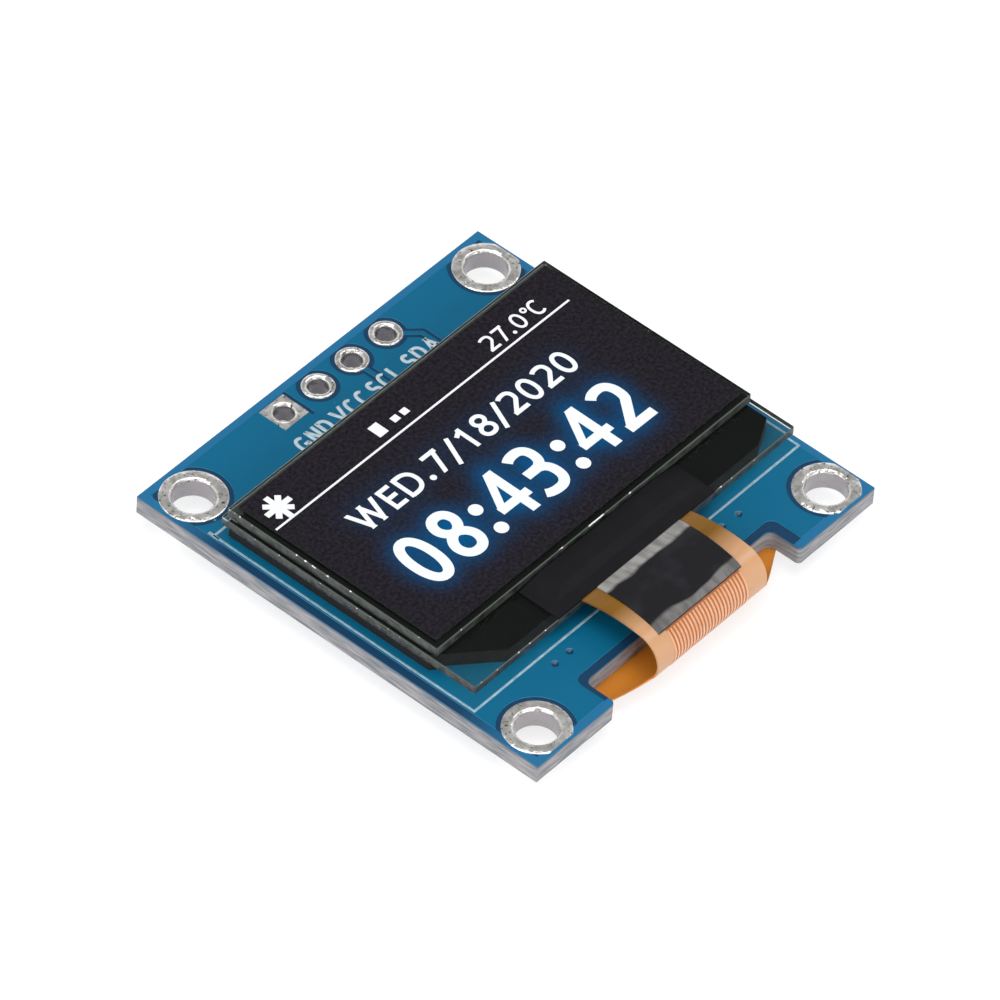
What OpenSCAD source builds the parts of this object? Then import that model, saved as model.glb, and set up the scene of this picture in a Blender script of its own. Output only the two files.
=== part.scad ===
// Small graphic screen on a square circuit board: a laminated glass panel on foam tape,
// with a flat cable that folds through a notch to a row of solder joints on the back.
// Origin: middle of the four mounting holes, on the back of the laminate. +Z leaves the screen,
// +X runs along the header row and +Y points from the cable edge to the header edge.

/* [Circuit board] */
// Width of the board, along the header row
board_w = 25.5; // [25:0.1:31]
// Height of the board, from the cable edge to the header edge
board_h = 25.8; // [25:0.1:31]
// Thickness of the bare laminate
laminate_t = 1.12; // [0.8:0.01:1.6]
// Height of the masked copper above the laminate
copper_relief = 0.04; // [0.02:0.01:0.08]
// Distance from the board's edge to its copper
copper_inset = 0.45; // [0.3:0.05:0.8]
// How far the board's middle lies off the hole pattern, along X
board_shift_x = -0.1; // [-0.3:0.05:0.3]
// How far the board's middle lies off the hole pattern, along Y
board_shift_y = 0.17; // [-0.3:0.01:0.3]

/* [Cable notch] */
// Width of the notch in the cable edge
notch_w = 14; // [12:0.5:16]
// Depth of the notch
notch_depth = 1.95; // [1.6:0.05:2.4]
// Radius of the notch's inner corners
notch_corner_r = 0.45; // [0.4:0.05:1]
// Radius of the corners where the notch meets the board's edge
tab_corner_r = 0.25; // [0.2:0.05:0.7]
// Corner radius of the wider notch in the copper
copper_notch_r = 0.5; // [0.3:0.05:1]
// How far the copper's notch lies to the right of the routed one
copper_notch_shift = 0.15; // [-0.2:0.05:0.3]

/* [Mounting holes] */
// Distance from a side edge to the hole centres
mount_inset_x = 1.8; // [1.7:0.05:2.2]
// Distance from the cable or header edge to the hole centres
mount_inset_y = 1.85; // [1.7:0.05:2.2]
// Bore of the plated mounting holes
mount_bore_d = 2.2; // [1.8:0.1:2.4]
// Diameter of their pads
mount_pad_d = 3.5; // [3.2:0.1:3.8]

/* [Header holes] */
// Number of holes in the header row
header_count = 4; // [4:1:5]
// Distance between the header holes
header_pitch = 2.54; // [2.54:0.01:3.1]
// Bore of the header holes
header_bore_d = 1.05; // [0.9:0.05:1.2]
// Diameter of the header pads, and side of the first one
header_pad_d = 1.75; // [1.6:0.05:1.9]
// Distance from the header edge to the row
header_inset_y = 1.43; // [1.4:0.01:1.8]
// How far the row lies off the hole pattern's middle
header_shift_x = 0.17; // [-0.3:0.01:0.3]

/* [Plating] */
// Wall of the plated barrels
barrel_wall = 0.08; // [0.06:0.01:0.12]
// Height of the tinned pads above the laminate
pad_height = 0.09; // [0.07:0.01:0.12]
// Radius of the rolled lip at each mouth
lip_r = 0.2; // [0.15:0.01:0.22]
// Gap between a pad and the copper round it
pad_gap = 0.24; // [0.15:0.01:0.4]

/* [Glass panel] */
// Width of the rear glass
panel_w = 24.1; // [22:0.1:24.4]
// Height of the rear glass, ledge included
panel_h = 16.35; // [15:0.05:19.65]
// Thickness of each glass
glass_t = 0.5; // [0.4:0.05:0.7]
// Depth of the ledge that the front glass leaves free
ledge_depth = 2.65; // [2.4:0.05:3]
// How far the front glass stands in from the rear glass on its other sides
glass_step = 0.2; // [0.1:0.05:0.4]
// Size of the ground bevel on the long edges of each glass
glass_bevel = 0.05; // [0.02:0.01:0.08]
// Thickness of the seal that joins the two glasses
seal_t = 0.06; // [0.05:0.01:0.1]
// Width of the seal
seal_w = 0.5; // [0.3:0.05:0.55]
// Thickness of the polarizer film
polarizer_t = 0.14; // [0.1:0.01:0.25]
// Rim of bare glass round the polarizer
polarizer_rim = 0.4; // [0.2:0.05:0.6]
// Thickness of the foam tape under the panel
foam_t = 0.85; // [0.5:0.05:1]
// How far the foam stands in from the rear glass
foam_inset = 0.3; // [0.1:0.05:1]
// How far the foam stands in from the rear glass at the front
foam_inset_front = 0.65; // [0.1:0.05:1]
// Width and depth of the piece cut off the foam's front left corner
foam_cut_left = [2.9, 2.5]; // [0.5:0.1:4]
// Width and depth of the piece cut off the foam's front right corner
foam_cut_right = [1.7, 0.9]; // [0.5:0.1:4]

/* [Lit area] */
// Width of the lit area
lit_w = 21.74; // [18:0.01:22]
// Height of the lit area
lit_h = 10.86; // [9:0.01:11.5]
// Thickness of the emitting film
film_t = 0.04; // [0.02:0.01:0.08]

/* [Driver chip and tape] */
// Length of the driver chip along the ledge
chip_w = 7.4; // [6:0.1:8]
// Depth of the driver chip
chip_d = 1; // [0.8:0.05:1.1]
// Thickness of the driver chip
chip_t = 0.26; // [0.2:0.01:0.35]
// Gap between the front glass and the driver chip
chip_gap = 0.3; // [0.2:0.05:0.4]
// Thickness of the black tapes
tape_t = 0.07; // [0.05:0.01:0.1]
// Width of the tape over the chip
ledge_tape_w = 11.8; // [10.5:0.1:14]
// Width of the tape on the cable
flex_tape_w = 6.2; // [5:0.1:7.5]
// Sideways lean of the cable tape over its length
flex_tape_lean = -0.5; // [-0.6:0.1:0.6]

/* [Flat cable] */
// Width of the cable where it leaves the glass
flex_w = 8.2; // [7.6:0.1:9.8]
// Thickness of the cable
flex_t = 0.1; // [0.08:0.01:0.12]
// Length bonded on the ledge
bond_length = 0.8; // [0.6:0.05:0.9]
// How far the top of the fold stands above the bonded end
fold_rise = 0.25; // [0.15:0.05:0.35]
// How far the fold stands out past the board's edge
fold_overhang = 0.25; // [0.15:0.05:0.35]
// Angle at which the shallow crown runs into the fold
crown_lean = 8; // [5:0.5:10]
// Width of the tail on the back of the board
tail_w = 18.7; // [18.5:0.1:19]
// Angle of the tail's left shoulder
shoulder_left = 19; // [18:1:22]
// Angle of the tail's right shoulder
shoulder_right = 30; // [26:1:32]
// Number of conductors that show on the fold
trace_count = 24; // [16:1:26]
// Distance between those conductors
trace_pitch = 0.235; // [0.2:0.005:0.26]
// Width of a conductor
trace_w = 0.12; // [0.08:0.01:0.15]
// Height of a conductor's relief on the cable
trace_relief = 0.025; // [0.015:0.005:0.04]

/* [Cable joints] */
// Number of soldered contacts in the tail
joint_count = 30; // [20:1:30]
// Distance between the contacts
joint_pitch = 0.62; // [0.5:0.01:0.62]
// Width of a contact
joint_w = 0.32; // [0.25:0.01:0.36]
// Distance from the notch to the end of the tail
tail_reach = 6.1; // [5:0.1:6.5]

/* [Back components] */
// Length, width and height of a chip capacitor
capacitor_size = [1.6, 0.85, 0.8]; // [0.4:0.05:2]
// Length, width and height of a chip resistor
resistor_size = [1.6, 0.85, 0.47]; // [0.4:0.01:2]
// Length, width and height of the regulator's case
regulator_size = [2.9, 1.35, 1]; // [0.8:0.05:3.2]
// Length, width and height of the diode's case
diode_size = [1.75, 1.3, 0.95]; // [0.7:0.05:2]
// Length of the end caps of a chip component
end_cap = 0.3; // [0.2:0.05:0.4]
// Width of a leg
leg_w = 0.42; // [0.3:0.01:0.5]
// Thickness of a leg
leg_t = 0.13; // [0.1:0.01:0.2]
// How far a leg reaches out of its case
leg_reach = 0.55; // [0.4:0.05:0.7]
// Length of a solder fillet
fillet_length = 0.35; // [0.2:0.05:0.45]
// Gap between a soldered part and the copper round it
part_gap = 0.2; // [0.1:0.05:0.3]

/* [Hidden] */
$fn = 64;
capacitor_count = 7;
resistor_count = 7;

// Edges of the board and of the notch
board_x0 = board_shift_x - board_w / 2;
board_x1 = board_shift_x + board_w / 2;
board_y0 = board_shift_y - board_h / 2;
board_y1 = board_shift_y + board_h / 2;
notch_y = board_y0 + notch_depth;
pad_edge_gap = 0.15;
pad_foot = 0.02;
past = 1;

// Hole centres
mount_dx = board_w / 2 - mount_inset_x;
mount_dy = board_h / 2 - mount_inset_y;
mount_at = [for (sy = [1, -1], sx = [-1, 1]) [sx * mount_dx, sy * mount_dy]];
header_y = board_y1 - header_inset_y;
header_at = [for (i = [0:header_count - 1])
    [header_shift_x + (i - (header_count - 1) / 2) * header_pitch, header_y]];

// Tracks on the front, each from a header hole, and the tented vias beside the notch
track_w = 0.25;
track_gap = 0.2;
front_tracks = [
    [for (p = [[0, 0], [0, -5]]) header_at[header_count - 2] + p],
    [for (p = [[0, 0], [1.3, -1.3], [1.3, -5]]) header_at[header_count - 1] + p]
];
via_d = 0.45;
via_depth = 0.1;
via_at = [[-7.2, -9], [-6.1, -8.98], [5.4, -9], [6.6, -9.05]];

// Heights of the stack, and edges of the two glasses
front_z = laminate_t + copper_relief;
back_z = -copper_relief;
rear_glass_z = front_z + foam_t;
ledge_z = rear_glass_z + glass_t;
cover_z = ledge_z + seal_t;
polarizer_z = cover_z + glass_t;
panel_y0 = board_shift_y - panel_h / 2;
panel_y1 = board_shift_y + panel_h / 2;
glass_corner = 0.1;
cover_w = panel_w - 2 * glass_step;
cover_y0 = panel_y0 + ledge_depth;
cover_y1 = panel_y1 - glass_step;
lit_gap = 0.65;
lit_y1 = cover_y1 - lit_gap;
seal_inset = 0.03;

// Chip and its tape on the ledge
chip_y1 = cover_y0 - chip_gap;
chip_y0 = chip_y1 - chip_d;
tape_gap = 0.1;
tape_slope = 1.6;

// Path of the cable, in the plane of Y and Z: bonded on the ledge, over a shallow crown that
// meets the ledge at the glass's edge, round the fold, then flat on the back. All to its middle.
cable_x = board_shift_x;
bond_z = ledge_z + flex_t / 2;
bond_y = panel_y0 + bond_length;
tail_z = back_z - flex_t / 2;
fold_r = (bond_z + fold_rise - tail_z) / 2;
fold_at = [board_y0 - fold_overhang + flex_t / 2 + fold_r, tail_z + fold_r];
lean_to = [sin(crown_lean), -cos(crown_lean)];
leap = [panel_y0, bond_z] - fold_at;
leap_along = leap * lean_to;
crown_r = (leap * leap + 2 * fold_r * leap_along + pow(fold_r, 2)) / (2 * (leap_along + fold_r));
crown_at = fold_at + (crown_r - fold_r) * lean_to;
crown_start = atan2(bond_z - crown_at[1], panel_y0 - crown_at[0]);
crown_end = 90 + crown_lean;
fold_end = 270;
widen_at = 200;
tail_y = notch_y + tail_reach;
arc_step = 3;

// Outline of the tail, whose left shoulder starts further in than its right one
front_y = board_y0 - fold_overhang;
left_start = 0.38;
right_start = 0.03;
shoulder_w = 2 * (mount_dx - mount_pad_d / 2 - 0.5);
shoulder_y = 0.3 + mount_pad_d / 2 - mount_dy;

// Tape and conductors on the cable
tape_end = 120;
trace_start = 124;
trace_end = 264;
trace_x = cable_x - 0.1;

// Contacts at the end of the tail
joint_lap = 1.5;
joint_toe = 0.75;
joint_height = 0.07;

// Places of the parts on the back: X, Y and turn
capacitor_at = concat(
    [for (i = [0:5]) [cable_x + (i - 2.5) * 2.9, -1.4, 90]],
    [[9.2, 7.3, 90]]
);
resistor_at = concat(
    [for (i = [0:3]) [-2.7 + i * 1.7, 3.3, 90]],
    [[-7.8, 8.2, 0], [1.2, 7.6, 90], [3.0, 7.6, 90]]
);
regulator_at = [7.2, 3.2, 0];
diode_at = [-7.2, 3.4, 0];
regulator_leg_x = 0.95;
spare_pad_at = [-10.4, 8.2];

// Tracks on the back. Each starts square at a soldered end and ends round, on a track or a ring.
joint_y = tail_y + joint_toe;
feed_y = 5.7;
jog = 0.45;
feed_corner = 0.35;
regulator_toe = regulator_size[1] / 2 + leg_reach + fillet_length;
regulator_out = [regulator_at[0] + regulator_leg_x, regulator_at[1] - regulator_toe];
feed_cap = capacitor_at[6];
supply_cap = capacitor_at[5];
back_tracks = concat(
    [for (i = [0:5]) let (x = joint_near(capacitor_at[i][0]))
        [[x, joint_y], [x, joint_y + jog], part_end(capacitor_at[i], capacitor_size, -1) - [0, jog]]],
    [for (i = [0:5]) let (end = part_end(capacitor_at[i], capacitor_size, -1)) [end, end - [0, jog]]],
    [for (i = [0, 1]) let (
            hole = header_at[header_count - 2 + i],
            end = part_end(resistor_at[5 + i], resistor_size, 1)
        )
        [end, end + [0, jog], [hole[0], end[1] + jog + abs(hole[0] - end[0])], hole]],
    [for (i = [0:3]) let (end = part_end(resistor_at[i], resistor_size, -1))
        [end, end - [0, jog], end - [jog, 2 * jog]]],
    [
        [
            part_end(feed_cap, capacitor_size, -1), [feed_cap[0], feed_y],
            [header_at[1][0] + feed_corner, feed_y], [header_at[1][0], feed_y + feed_corner],
            header_at[1]
        ],
        [[regulator_at[0], regulator_at[1] + regulator_toe], [regulator_at[0], feed_y]],
        [regulator_out, regulator_out - [0, jog], part_end(supply_cap, capacitor_size, 1) + [0, jog]],
        [part_end(supply_cap, capacitor_size, 1), part_end(supply_cap, capacitor_size, 1) + [0, jog]]
    ]
);
back_via_at = concat(
    [for (i = [0:3]) part_end(resistor_at[i], resistor_size, -1) - [jog, 2 * jog]],
    [[-9.4, 0.9], [-5.6, 0.6], [5.3, 0.9], [9.9, -1.1], [-4.6, 6.6], [5.6, 8.3], [-10, 4.8], [10.3, 4.2]]
);

// Outer edge of the solder at one end of a chip that lies along Y
function part_end(place, size, side) = [place[0], place[1] + side * (size[0] / 2 + fillet_length)];

// The contact of the cable nearest to x
function joint_near(x) =
    let (middle = (joint_count - 1) / 2)
    cable_x + (round((x - cable_x) / joint_pitch + middle) - middle) * joint_pitch;

// Points of an arc from one angle to another
function arc(centre, r, from, to) =
    let (steps = ceil(abs(to - from) / arc_step))
    [for (i = [0:steps]) let (a = from + (to - from) * i / steps) centre + r * [cos(a), sin(a)]];

// A list without its first item, and a list turned round
function rest(list) = [for (i = [1:len(list) - 1]) list[i]];
function turned(list) = [for (i = [len(list) - 1:-1:0]) list[i]];

// Where a face at distance d from a bent line's middle turns, between two normals
function mitre(corner, d, normal_a, normal_b) =
    let (mean = (normal_a + normal_b) / 2)
    corner + d / cos((normal_a - normal_b) / 2) * [cos(mean), sin(mean)];

// Faces of the cable at distance d from its middle, outwards being positive
function bonded_line(d) = [
    [bond_y, bond_z + d],
    mitre([panel_y0, bond_z], d, 90, crown_start)
];
function crown_line(d) = rest(arc(crown_at, crown_r + d, crown_start, crown_end));
function fold_line(d, from, to) = arc(fold_at, fold_r + d, from, to);
function taped_line(d) =
    concat([bonded_line(d)[1]], crown_line(d), rest(fold_line(d, crown_end, tape_end)));

// A strip between an outer line and an inner line
module strip(outer, inner) {
    polygon(concat(outer, turned(inner)));
}

// A profile in Y and Z, drawn out along X
module along_x(x0, x1) {
    translate([x0, 0, 0])
        rotate([90, 0, 90])
            linear_extrude(x1 - x0)
                children();
}

// A profile in X and Z, drawn out along Y
module along_y(y0, y1) {
    translate([0, y1, 0])
        rotate([90, 0, 0])
            linear_extrude(y1 - y0)
                children();
}

// A rectangle given by its lowest and highest corners
module rectangle(low, high) {
    translate(low)
        square(high - low);
}

// A plate given by its corners and its two heights
module plate(low, high, z0, z1) {
    translate([0, 0, z0])
        linear_extrude(z1 - z0)
            rectangle(low, high);
}

// The cable notch, larger all round by grow, with corners of radius r
module notch(grow, r) {
    half = notch_w / 2 + grow;
    top = notch_y + grow;
    translate([board_shift_x, 0]) {
        rectangle([-half, board_y0 - past], [half, top - r]);
        rectangle([r - half, board_y0 - past], [half - r, top]);
        for (side = [-1, 1])
            translate([side * (half - r), top - r])
                circle(r);
    }
}

// What rounds off the corner where the notch meets the edge
module tab_corner(side) {
    translate([board_shift_x + side * notch_w / 2, board_y0])
        scale([side, 1])
            difference() {
                rectangle([-past, -past], [tab_corner_r, tab_corner_r]);
                translate([tab_corner_r, tab_corner_r])
                    circle(tab_corner_r);
            }
}

// The outline of the copper on either side
module copper_outline() {
    difference() {
        rectangle(
            [board_x0 + copper_inset, board_y0 + copper_inset],
            [board_x1 - copper_inset, board_y1 - copper_inset]
        );
        translate([copper_notch_shift, 0])
            notch(copper_inset, copper_notch_r);
    }
}

// A copper track or the gap round it
module track(points, width) {
    for (i = [0:len(points) - 2]) {
        run = points[i + 1] - points[i];
        translate(points[i])
            rotate(atan2(run[1], run[0]))
                translate([0, -width / 2])
                    square([norm(run), width]);
        translate(points[i + 1])
            circle(d = width);
    }
}

// The gaps round the plated holes
module hole_gaps() {
    for (p = mount_at)
        translate(p)
            circle(mount_pad_d / 2 + pad_gap);
    for (i = [1:header_count - 1])
        translate(header_at[i])
            circle(header_pad_d / 2 + pad_gap);
}

// Masked copper on the front, with the tracks of the last two header holes
module front_copper() {
    difference() {
        copper_outline();
        hole_gaps();
        first_pad_gap();
        for (points = front_tracks)
            track(points, track_w + 2 * track_gap);
    }
    difference() {
        for (points = front_tracks)
            track(points, track_w);
        for (p = header_at)
            translate(p)
                circle(header_pad_d / 2);
    }
}

// The first header pad is square, and joins the copper on all sides but the one to its neighbour
module first_pad_gap() {
    half = header_pad_d / 2;
    translate(header_at[0])
        rectangle([half, -half - pad_gap], [half + pad_gap, half + pad_gap]);
    translate(header_at[0])
        square(header_pad_d, center = true);
}

// Masked copper on the back, open round the soldered parts, with tracks between them
module back_copper() {
    difference() {
        back_pour();
        for (points = back_tracks)
            track(points, track_w + 2 * track_gap);
    }
    difference() {
        for (points = back_tracks)
            track(points, track_w);
        for (p = header_at)
            translate(p)
                circle(header_pad_d / 2);
    }
}

module back_pour() {
    half_row = joint_pitch * (joint_count - 1) / 2 + joint_w / 2 + part_gap;
    difference() {
        copper_outline();
        hole_gaps();
        first_pad_gap();
        rectangle([cable_x - half_row, tail_y], [cable_x + half_row, tail_y + joint_toe + part_gap]);
        for (p = capacitor_at)
            part_window(p, capacitor_size, 0);
        for (p = resistor_at)
            part_window(p, resistor_size, 0);
        part_window(regulator_at, regulator_size, leg_reach);
        part_window(diode_at, diode_size, leg_reach);
        translate(spare_pad_at)
            square([end_cap + fillet_length + 2 * part_gap, resistor_size[1] + 2 * part_gap], center = true);
    }
}

// The opening in the copper round one soldered part
module part_window(place, size, legs) {
    length = size[0] + (legs > 0 ? 2 * part_gap : 2 * (fillet_length + part_gap));
    width = size[1] + (legs > 0 ? 2 * (legs + fillet_length + part_gap) : 2 * part_gap);
    translate([place[0], place[1]])
        rotate(place[2])
            square([length, width], center = true);
}

// Laminate with its masked copper, holes, notch and vias
module circuit_board() {
    color([0.06, 0.38, 0.55])
        difference() {
            union() {
                linear_extrude(laminate_t)
                    difference() {
                        rectangle([board_x0, board_y0], [board_x1, board_y1]);
                        notch(0, notch_corner_r);
                        for (side = [-1, 1])
                            tab_corner(side);
                        for (p = mount_at)
                            translate(p)
                                circle(mount_bore_d / 2 + barrel_wall);
                        for (p = header_at)
                            translate(p)
                                circle(header_bore_d / 2 + barrel_wall);
                    }
                translate([0, 0, laminate_t])
                    linear_extrude(copper_relief)
                        front_copper();
                translate([0, 0, back_z])
                    linear_extrude(copper_relief)
                        back_copper();
            }
            for (p = via_at)
                translate([p[0], p[1], front_z - via_depth])
                    cylinder(h = 2 * via_depth, d1 = 0, d2 = 2 * via_d);
            for (p = back_via_at)
                translate([p[0], p[1], back_z - via_depth])
                    cylinder(h = 2 * via_depth, d1 = 2 * via_d, d2 = 0);
        }
}

// Section of a plated barrel with rolled lips and a domed pad of tin at each end
function ring_section(bore_r, pad_r) =
    let (
        wall_r = bore_r + barrel_wall,
        lip_x = bore_r + lip_r,
        dome = [pad_r - lip_x, pad_height - pad_foot],
        lip = [lip_r, lip_r],
        top = laminate_t + pad_height
    )
    concat(
        [[wall_r, 0], [pad_r, 0]],
        oval([lip_x, -pad_foot], dome, 360, 270),
        rest(oval([lip_x, lip_r - pad_height], lip, 270, 180)),
        oval([lip_x, top - lip_r], lip, 180, 90),
        rest(oval([lip_x, laminate_t + pad_foot], dome, 90, 0)),
        [[pad_r, laminate_t], [wall_r, laminate_t]]
    );
function oval(centre, radii, from, to) =
    let (steps = 6)
    [for (i = [0:steps]) let (a = from + (to - from) * i / steps)
        centre + [radii[0] * cos(a), radii[1] * sin(a)]];

module mounting_ring(i) {
    color([0.78, 0.77, 0.75])
        intersection() {
            translate(mount_at[i - 1])
                rotate_extrude()
                    polygon(ring_section(mount_bore_d / 2, mount_pad_d / 2));
            plate(
                [board_x0 + pad_edge_gap, board_y0 + pad_edge_gap],
                [board_x1 - pad_edge_gap, board_y1 - pad_edge_gap],
                -past, laminate_t + past
            );
        }
}

module header_ring(i) {
    bore_r = header_bore_d / 2;
    half = header_pad_d / 2;
    collar_r = bore_r + lip_r + 0.05;
    color([0.78, 0.77, 0.75])
        translate(header_at[i - 1])
            if (i == 1) {
                rotate_extrude()
                    polygon(ring_section(bore_r, collar_r));
                for (z = [-0.8 * pad_height, laminate_t])
                    difference() {
                        plate([-half, -half], [half, half], z, z + 0.8 * pad_height);
                        translate([0, 0, z - past])
                            cylinder(h = 2 * past + pad_height, r = bore_r + lip_r);
                    }
            } else {
                rotate_extrude()
                    polygon(ring_section(bore_r, half));
            }
}

// Double-sided foam between the board and the panel, with its two front corners cut off
module foam_tape() {
    x1 = panel_w / 2 - foam_inset;
    y0 = panel_y0 + foam_inset_front;
    y1 = panel_y1 - foam_inset;
    color([0.05, 0.05, 0.06])
        translate([0, 0, front_z])
            linear_extrude(foam_t)
                polygon([
                    [foam_cut_left[0] - x1, y0], [x1 - foam_cut_right[0], y0],
                    [x1, y0 + foam_cut_right[1]], [x1, y1], [-x1, y1], [-x1, y0 + foam_cut_left[1]]
                ]);
}

// A plate's section from one edge to the other, with bevelled edges
module bevelled_section(from, to, z0, z1) {
    b = glass_bevel;
    polygon([
        [from + b, z0], [to - b, z0], [to, z0 + b], [to, z1 - b],
        [to - b, z1], [from + b, z1], [from, z1 - b], [from, z0 + b]
    ]);
}

// A sheet of glass with bevelled edges and snapped corners
module glass_sheet(low, high, z0) {
    c = glass_corner;
    intersection() {
        translate([0, 0, z0])
            linear_extrude(glass_t)
                polygon([
                    [low[0] + c, low[1]], [high[0] - c, low[1]], [high[0], low[1] + c],
                    [high[0], high[1] - c], [high[0] - c, high[1]], [low[0] + c, high[1]],
                    [low[0], high[1] - c], [low[0], low[1] + c]
                ]);
        along_x(low[0], high[0])
            bevelled_section(low[1], high[1], z0, z0 + glass_t);
        along_y(low[1], high[1])
            bevelled_section(low[0], high[0], z0, z0 + glass_t);
    }
}

module rear_glass() {
    color([0.35, 0.4, 0.36, 0.6])
        glass_sheet([-panel_w / 2, panel_y0], [panel_w / 2, panel_y1], rear_glass_z);
}

// The layer that lights up, on the rear glass
module emitting_film() {
    color([0.9, 0.95, 1])
        plate([-lit_w / 2, lit_y1 - lit_h], [lit_w / 2, lit_y1], ledge_z, ledge_z + film_t);
}

// The bead that holds the two glasses apart all round the emitting film
module edge_seal() {
    x1 = cover_w / 2 - seal_inset;
    y0 = cover_y0 + seal_inset;
    y1 = cover_y1 - seal_inset;
    color([0.55, 0.57, 0.56])
        translate([0, 0, ledge_z])
            linear_extrude(seal_t)
                difference() {
                    rectangle([-x1, y0], [x1, y1]);
                    rectangle([seal_w - x1, y0 + seal_w], [x1 - seal_w, y1 - seal_w]);
                }
}

module front_glass() {
    color([0.4, 0.45, 0.4, 0.6])
        glass_sheet([-cover_w / 2, cover_y0], [cover_w / 2, cover_y1], cover_z);
}

module polarizer() {
    color([0.07, 0.07, 0.09])
        plate(
            [polarizer_rim - cover_w / 2, cover_y0 + polarizer_rim],
            [cover_w / 2 - polarizer_rim, cover_y1 - polarizer_rim],
            polarizer_z, polarizer_z + polarizer_t
        );
}

module driver_chip() {
    color([0.2, 0.2, 0.22])
        plate([-chip_w / 2, chip_y0], [chip_w / 2, chip_y1], ledge_z, ledge_z + chip_t);
}

// Black tape pressed down over the chip and over the bonded end of the cable
module chip_tape() {
    over_chip = ledge_z + chip_t + tape_t;
    over_cable = ledge_z + flex_t + tape_t;
    half = ledge_tape_w / 2;
    color([0.08, 0.08, 0.09])
        difference() {
            intersection() {
                along_x(-half, half)
                    polygon([
                        [panel_y0, ledge_z], [cover_y0 - tape_gap, ledge_z],
                        [cover_y0 - tape_gap, over_chip], [chip_y0 - tape_gap, over_chip],
                        [bond_y - tape_gap, over_cable], [panel_y0, over_cable]
                    ]);
                along_y(panel_y0 - past, cover_y0 + past)
                    polygon([
                        [-half, ledge_z - past], [half, ledge_z - past], [half, ledge_z + tape_t],
                        [half - tape_slope, over_chip], [tape_slope - half, over_chip],
                        [-half, ledge_z + tape_t]
                    ]);
            }
            driver_chip();
            bond_end();
        }
}

// The room that the cable's bonded end takes on the ledge
module bond_end() {
    plate(
        [cable_x - flex_w / 2, panel_y0 - past], [cable_x + flex_w / 2, bond_y],
        ledge_z - past, ledge_z + flex_t
    );
}

// Outline of the cable below the fold, where it widens to the tail
module tail_outline() {
    half = flex_w / 2;
    shoulder = shoulder_w / 2;
    left_y = front_y + left_start + (shoulder - half) * tan(shoulder_left);
    right_y = front_y + right_start + (shoulder - half) * tan(shoulder_right);
    translate([cable_x, 0])
        polygon([
            [-half, front_y - past], [half, front_y - past], [half, front_y + right_start],
            [shoulder, right_y], [tail_w / 2, shoulder_y], [tail_w / 2, tail_y + past],
            [-tail_w / 2, tail_y + past], [-tail_w / 2, shoulder_y], [-shoulder, left_y],
            [-half, front_y + left_start]
        ]);
}

module flat_cable() {
    out = flex_t / 2;
    color([0.8, 0.5, 0.15]) {
        along_x(cable_x - flex_w / 2, cable_x + flex_w / 2)
            strip(
                concat(bonded_line(out), crown_line(out), rest(fold_line(out, crown_end, widen_at))),
                concat(bonded_line(-out), crown_line(-out), rest(fold_line(-out, crown_end, widen_at)))
            );
        intersection() {
            along_x(cable_x - tail_w / 2, cable_x + tail_w / 2)
                strip(
                    concat(fold_line(out, widen_at, fold_end), [[tail_y, tail_z - out]]),
                    concat(fold_line(-out, widen_at, fold_end), [[tail_y, tail_z + out]])
                );
            translate([0, 0, -past])
                linear_extrude(fold_at[1] + fold_r + 2 * past)
                    tail_outline();
        }
    }
}

// The conductors where they stand out on the bare part of the fold
module cable_conductors() {
    face = flex_t / 2;
    crest = face + trace_relief;
    color([0.85, 0.5, 0.3])
        for (i = [0:trace_count - 1]) {
            x = trace_x + (i - (trace_count - 1) / 2) * trace_pitch;
            along_x(x - trace_w / 2, x + trace_w / 2)
                strip(
                    fold_line(crest, trace_start, trace_end),
                    fold_line(face, trace_start, trace_end)
                );
        }
}

// Black tape on the cable, from the ledge to the start of the fold
module cable_tape() {
    face = flex_t / 2;
    top = face + tape_t;
    half = flex_tape_w / 2;
    end_y = fold_at[0] - fold_r * 2;
    color([0.09, 0.09, 0.1])
        intersection() {
            along_x(cable_x - flex_w / 2, cable_x + flex_w / 2)
                strip(taped_line(top), taped_line(face));
            linear_extrude(fold_at[1] + fold_r + past)
                polygon([
                    [-half, panel_y0], [half, panel_y0],
                    [half + flex_tape_lean, end_y], [flex_tape_lean - half, end_y]
                ]);
        }
}

// Soldered contacts that lap over the end of the tail on to the board
module cable_joints() {
    face = back_z - flex_t;
    crest = face - joint_height;
    color([0.75, 0.75, 0.74])
        for (i = [0:joint_count - 1]) {
            x = cable_x + (i - (joint_count - 1) / 2) * joint_pitch;
            along_x(x - joint_w / 2, x + joint_w / 2)
                polygon([
                    [tail_y - joint_lap, face], [tail_y - joint_lap + joint_height, crest],
                    [tail_y + joint_height, crest], [tail_y + joint_toe, back_z], [tail_y + joint_toe, 0],
                    [tail_y, 0], [tail_y, face]
                ]);
        }
}

// Puts a part on the back of the board, upside down and turned
module on_back(place) {
    translate([place[0], place[1], 0])
        rotate([180, 0, place[2]])
            children();
}

// A ceramic chip with a metal cap at each end
module chip_part(size) {
    body_inset = 0.03;
    translate([-size[0] / 2 + body_inset, body_inset - size[1] / 2, copper_relief + body_inset])
        cube([size[0] - 2 * body_inset, size[1] - 2 * body_inset, size[2] - 2 * body_inset]);
    for (x = [-size[0] / 2, size[0] / 2 - end_cap])
        translate([x, -size[1] / 2, copper_relief])
            cube([end_cap, size[1], size[2]]);
}

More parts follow.
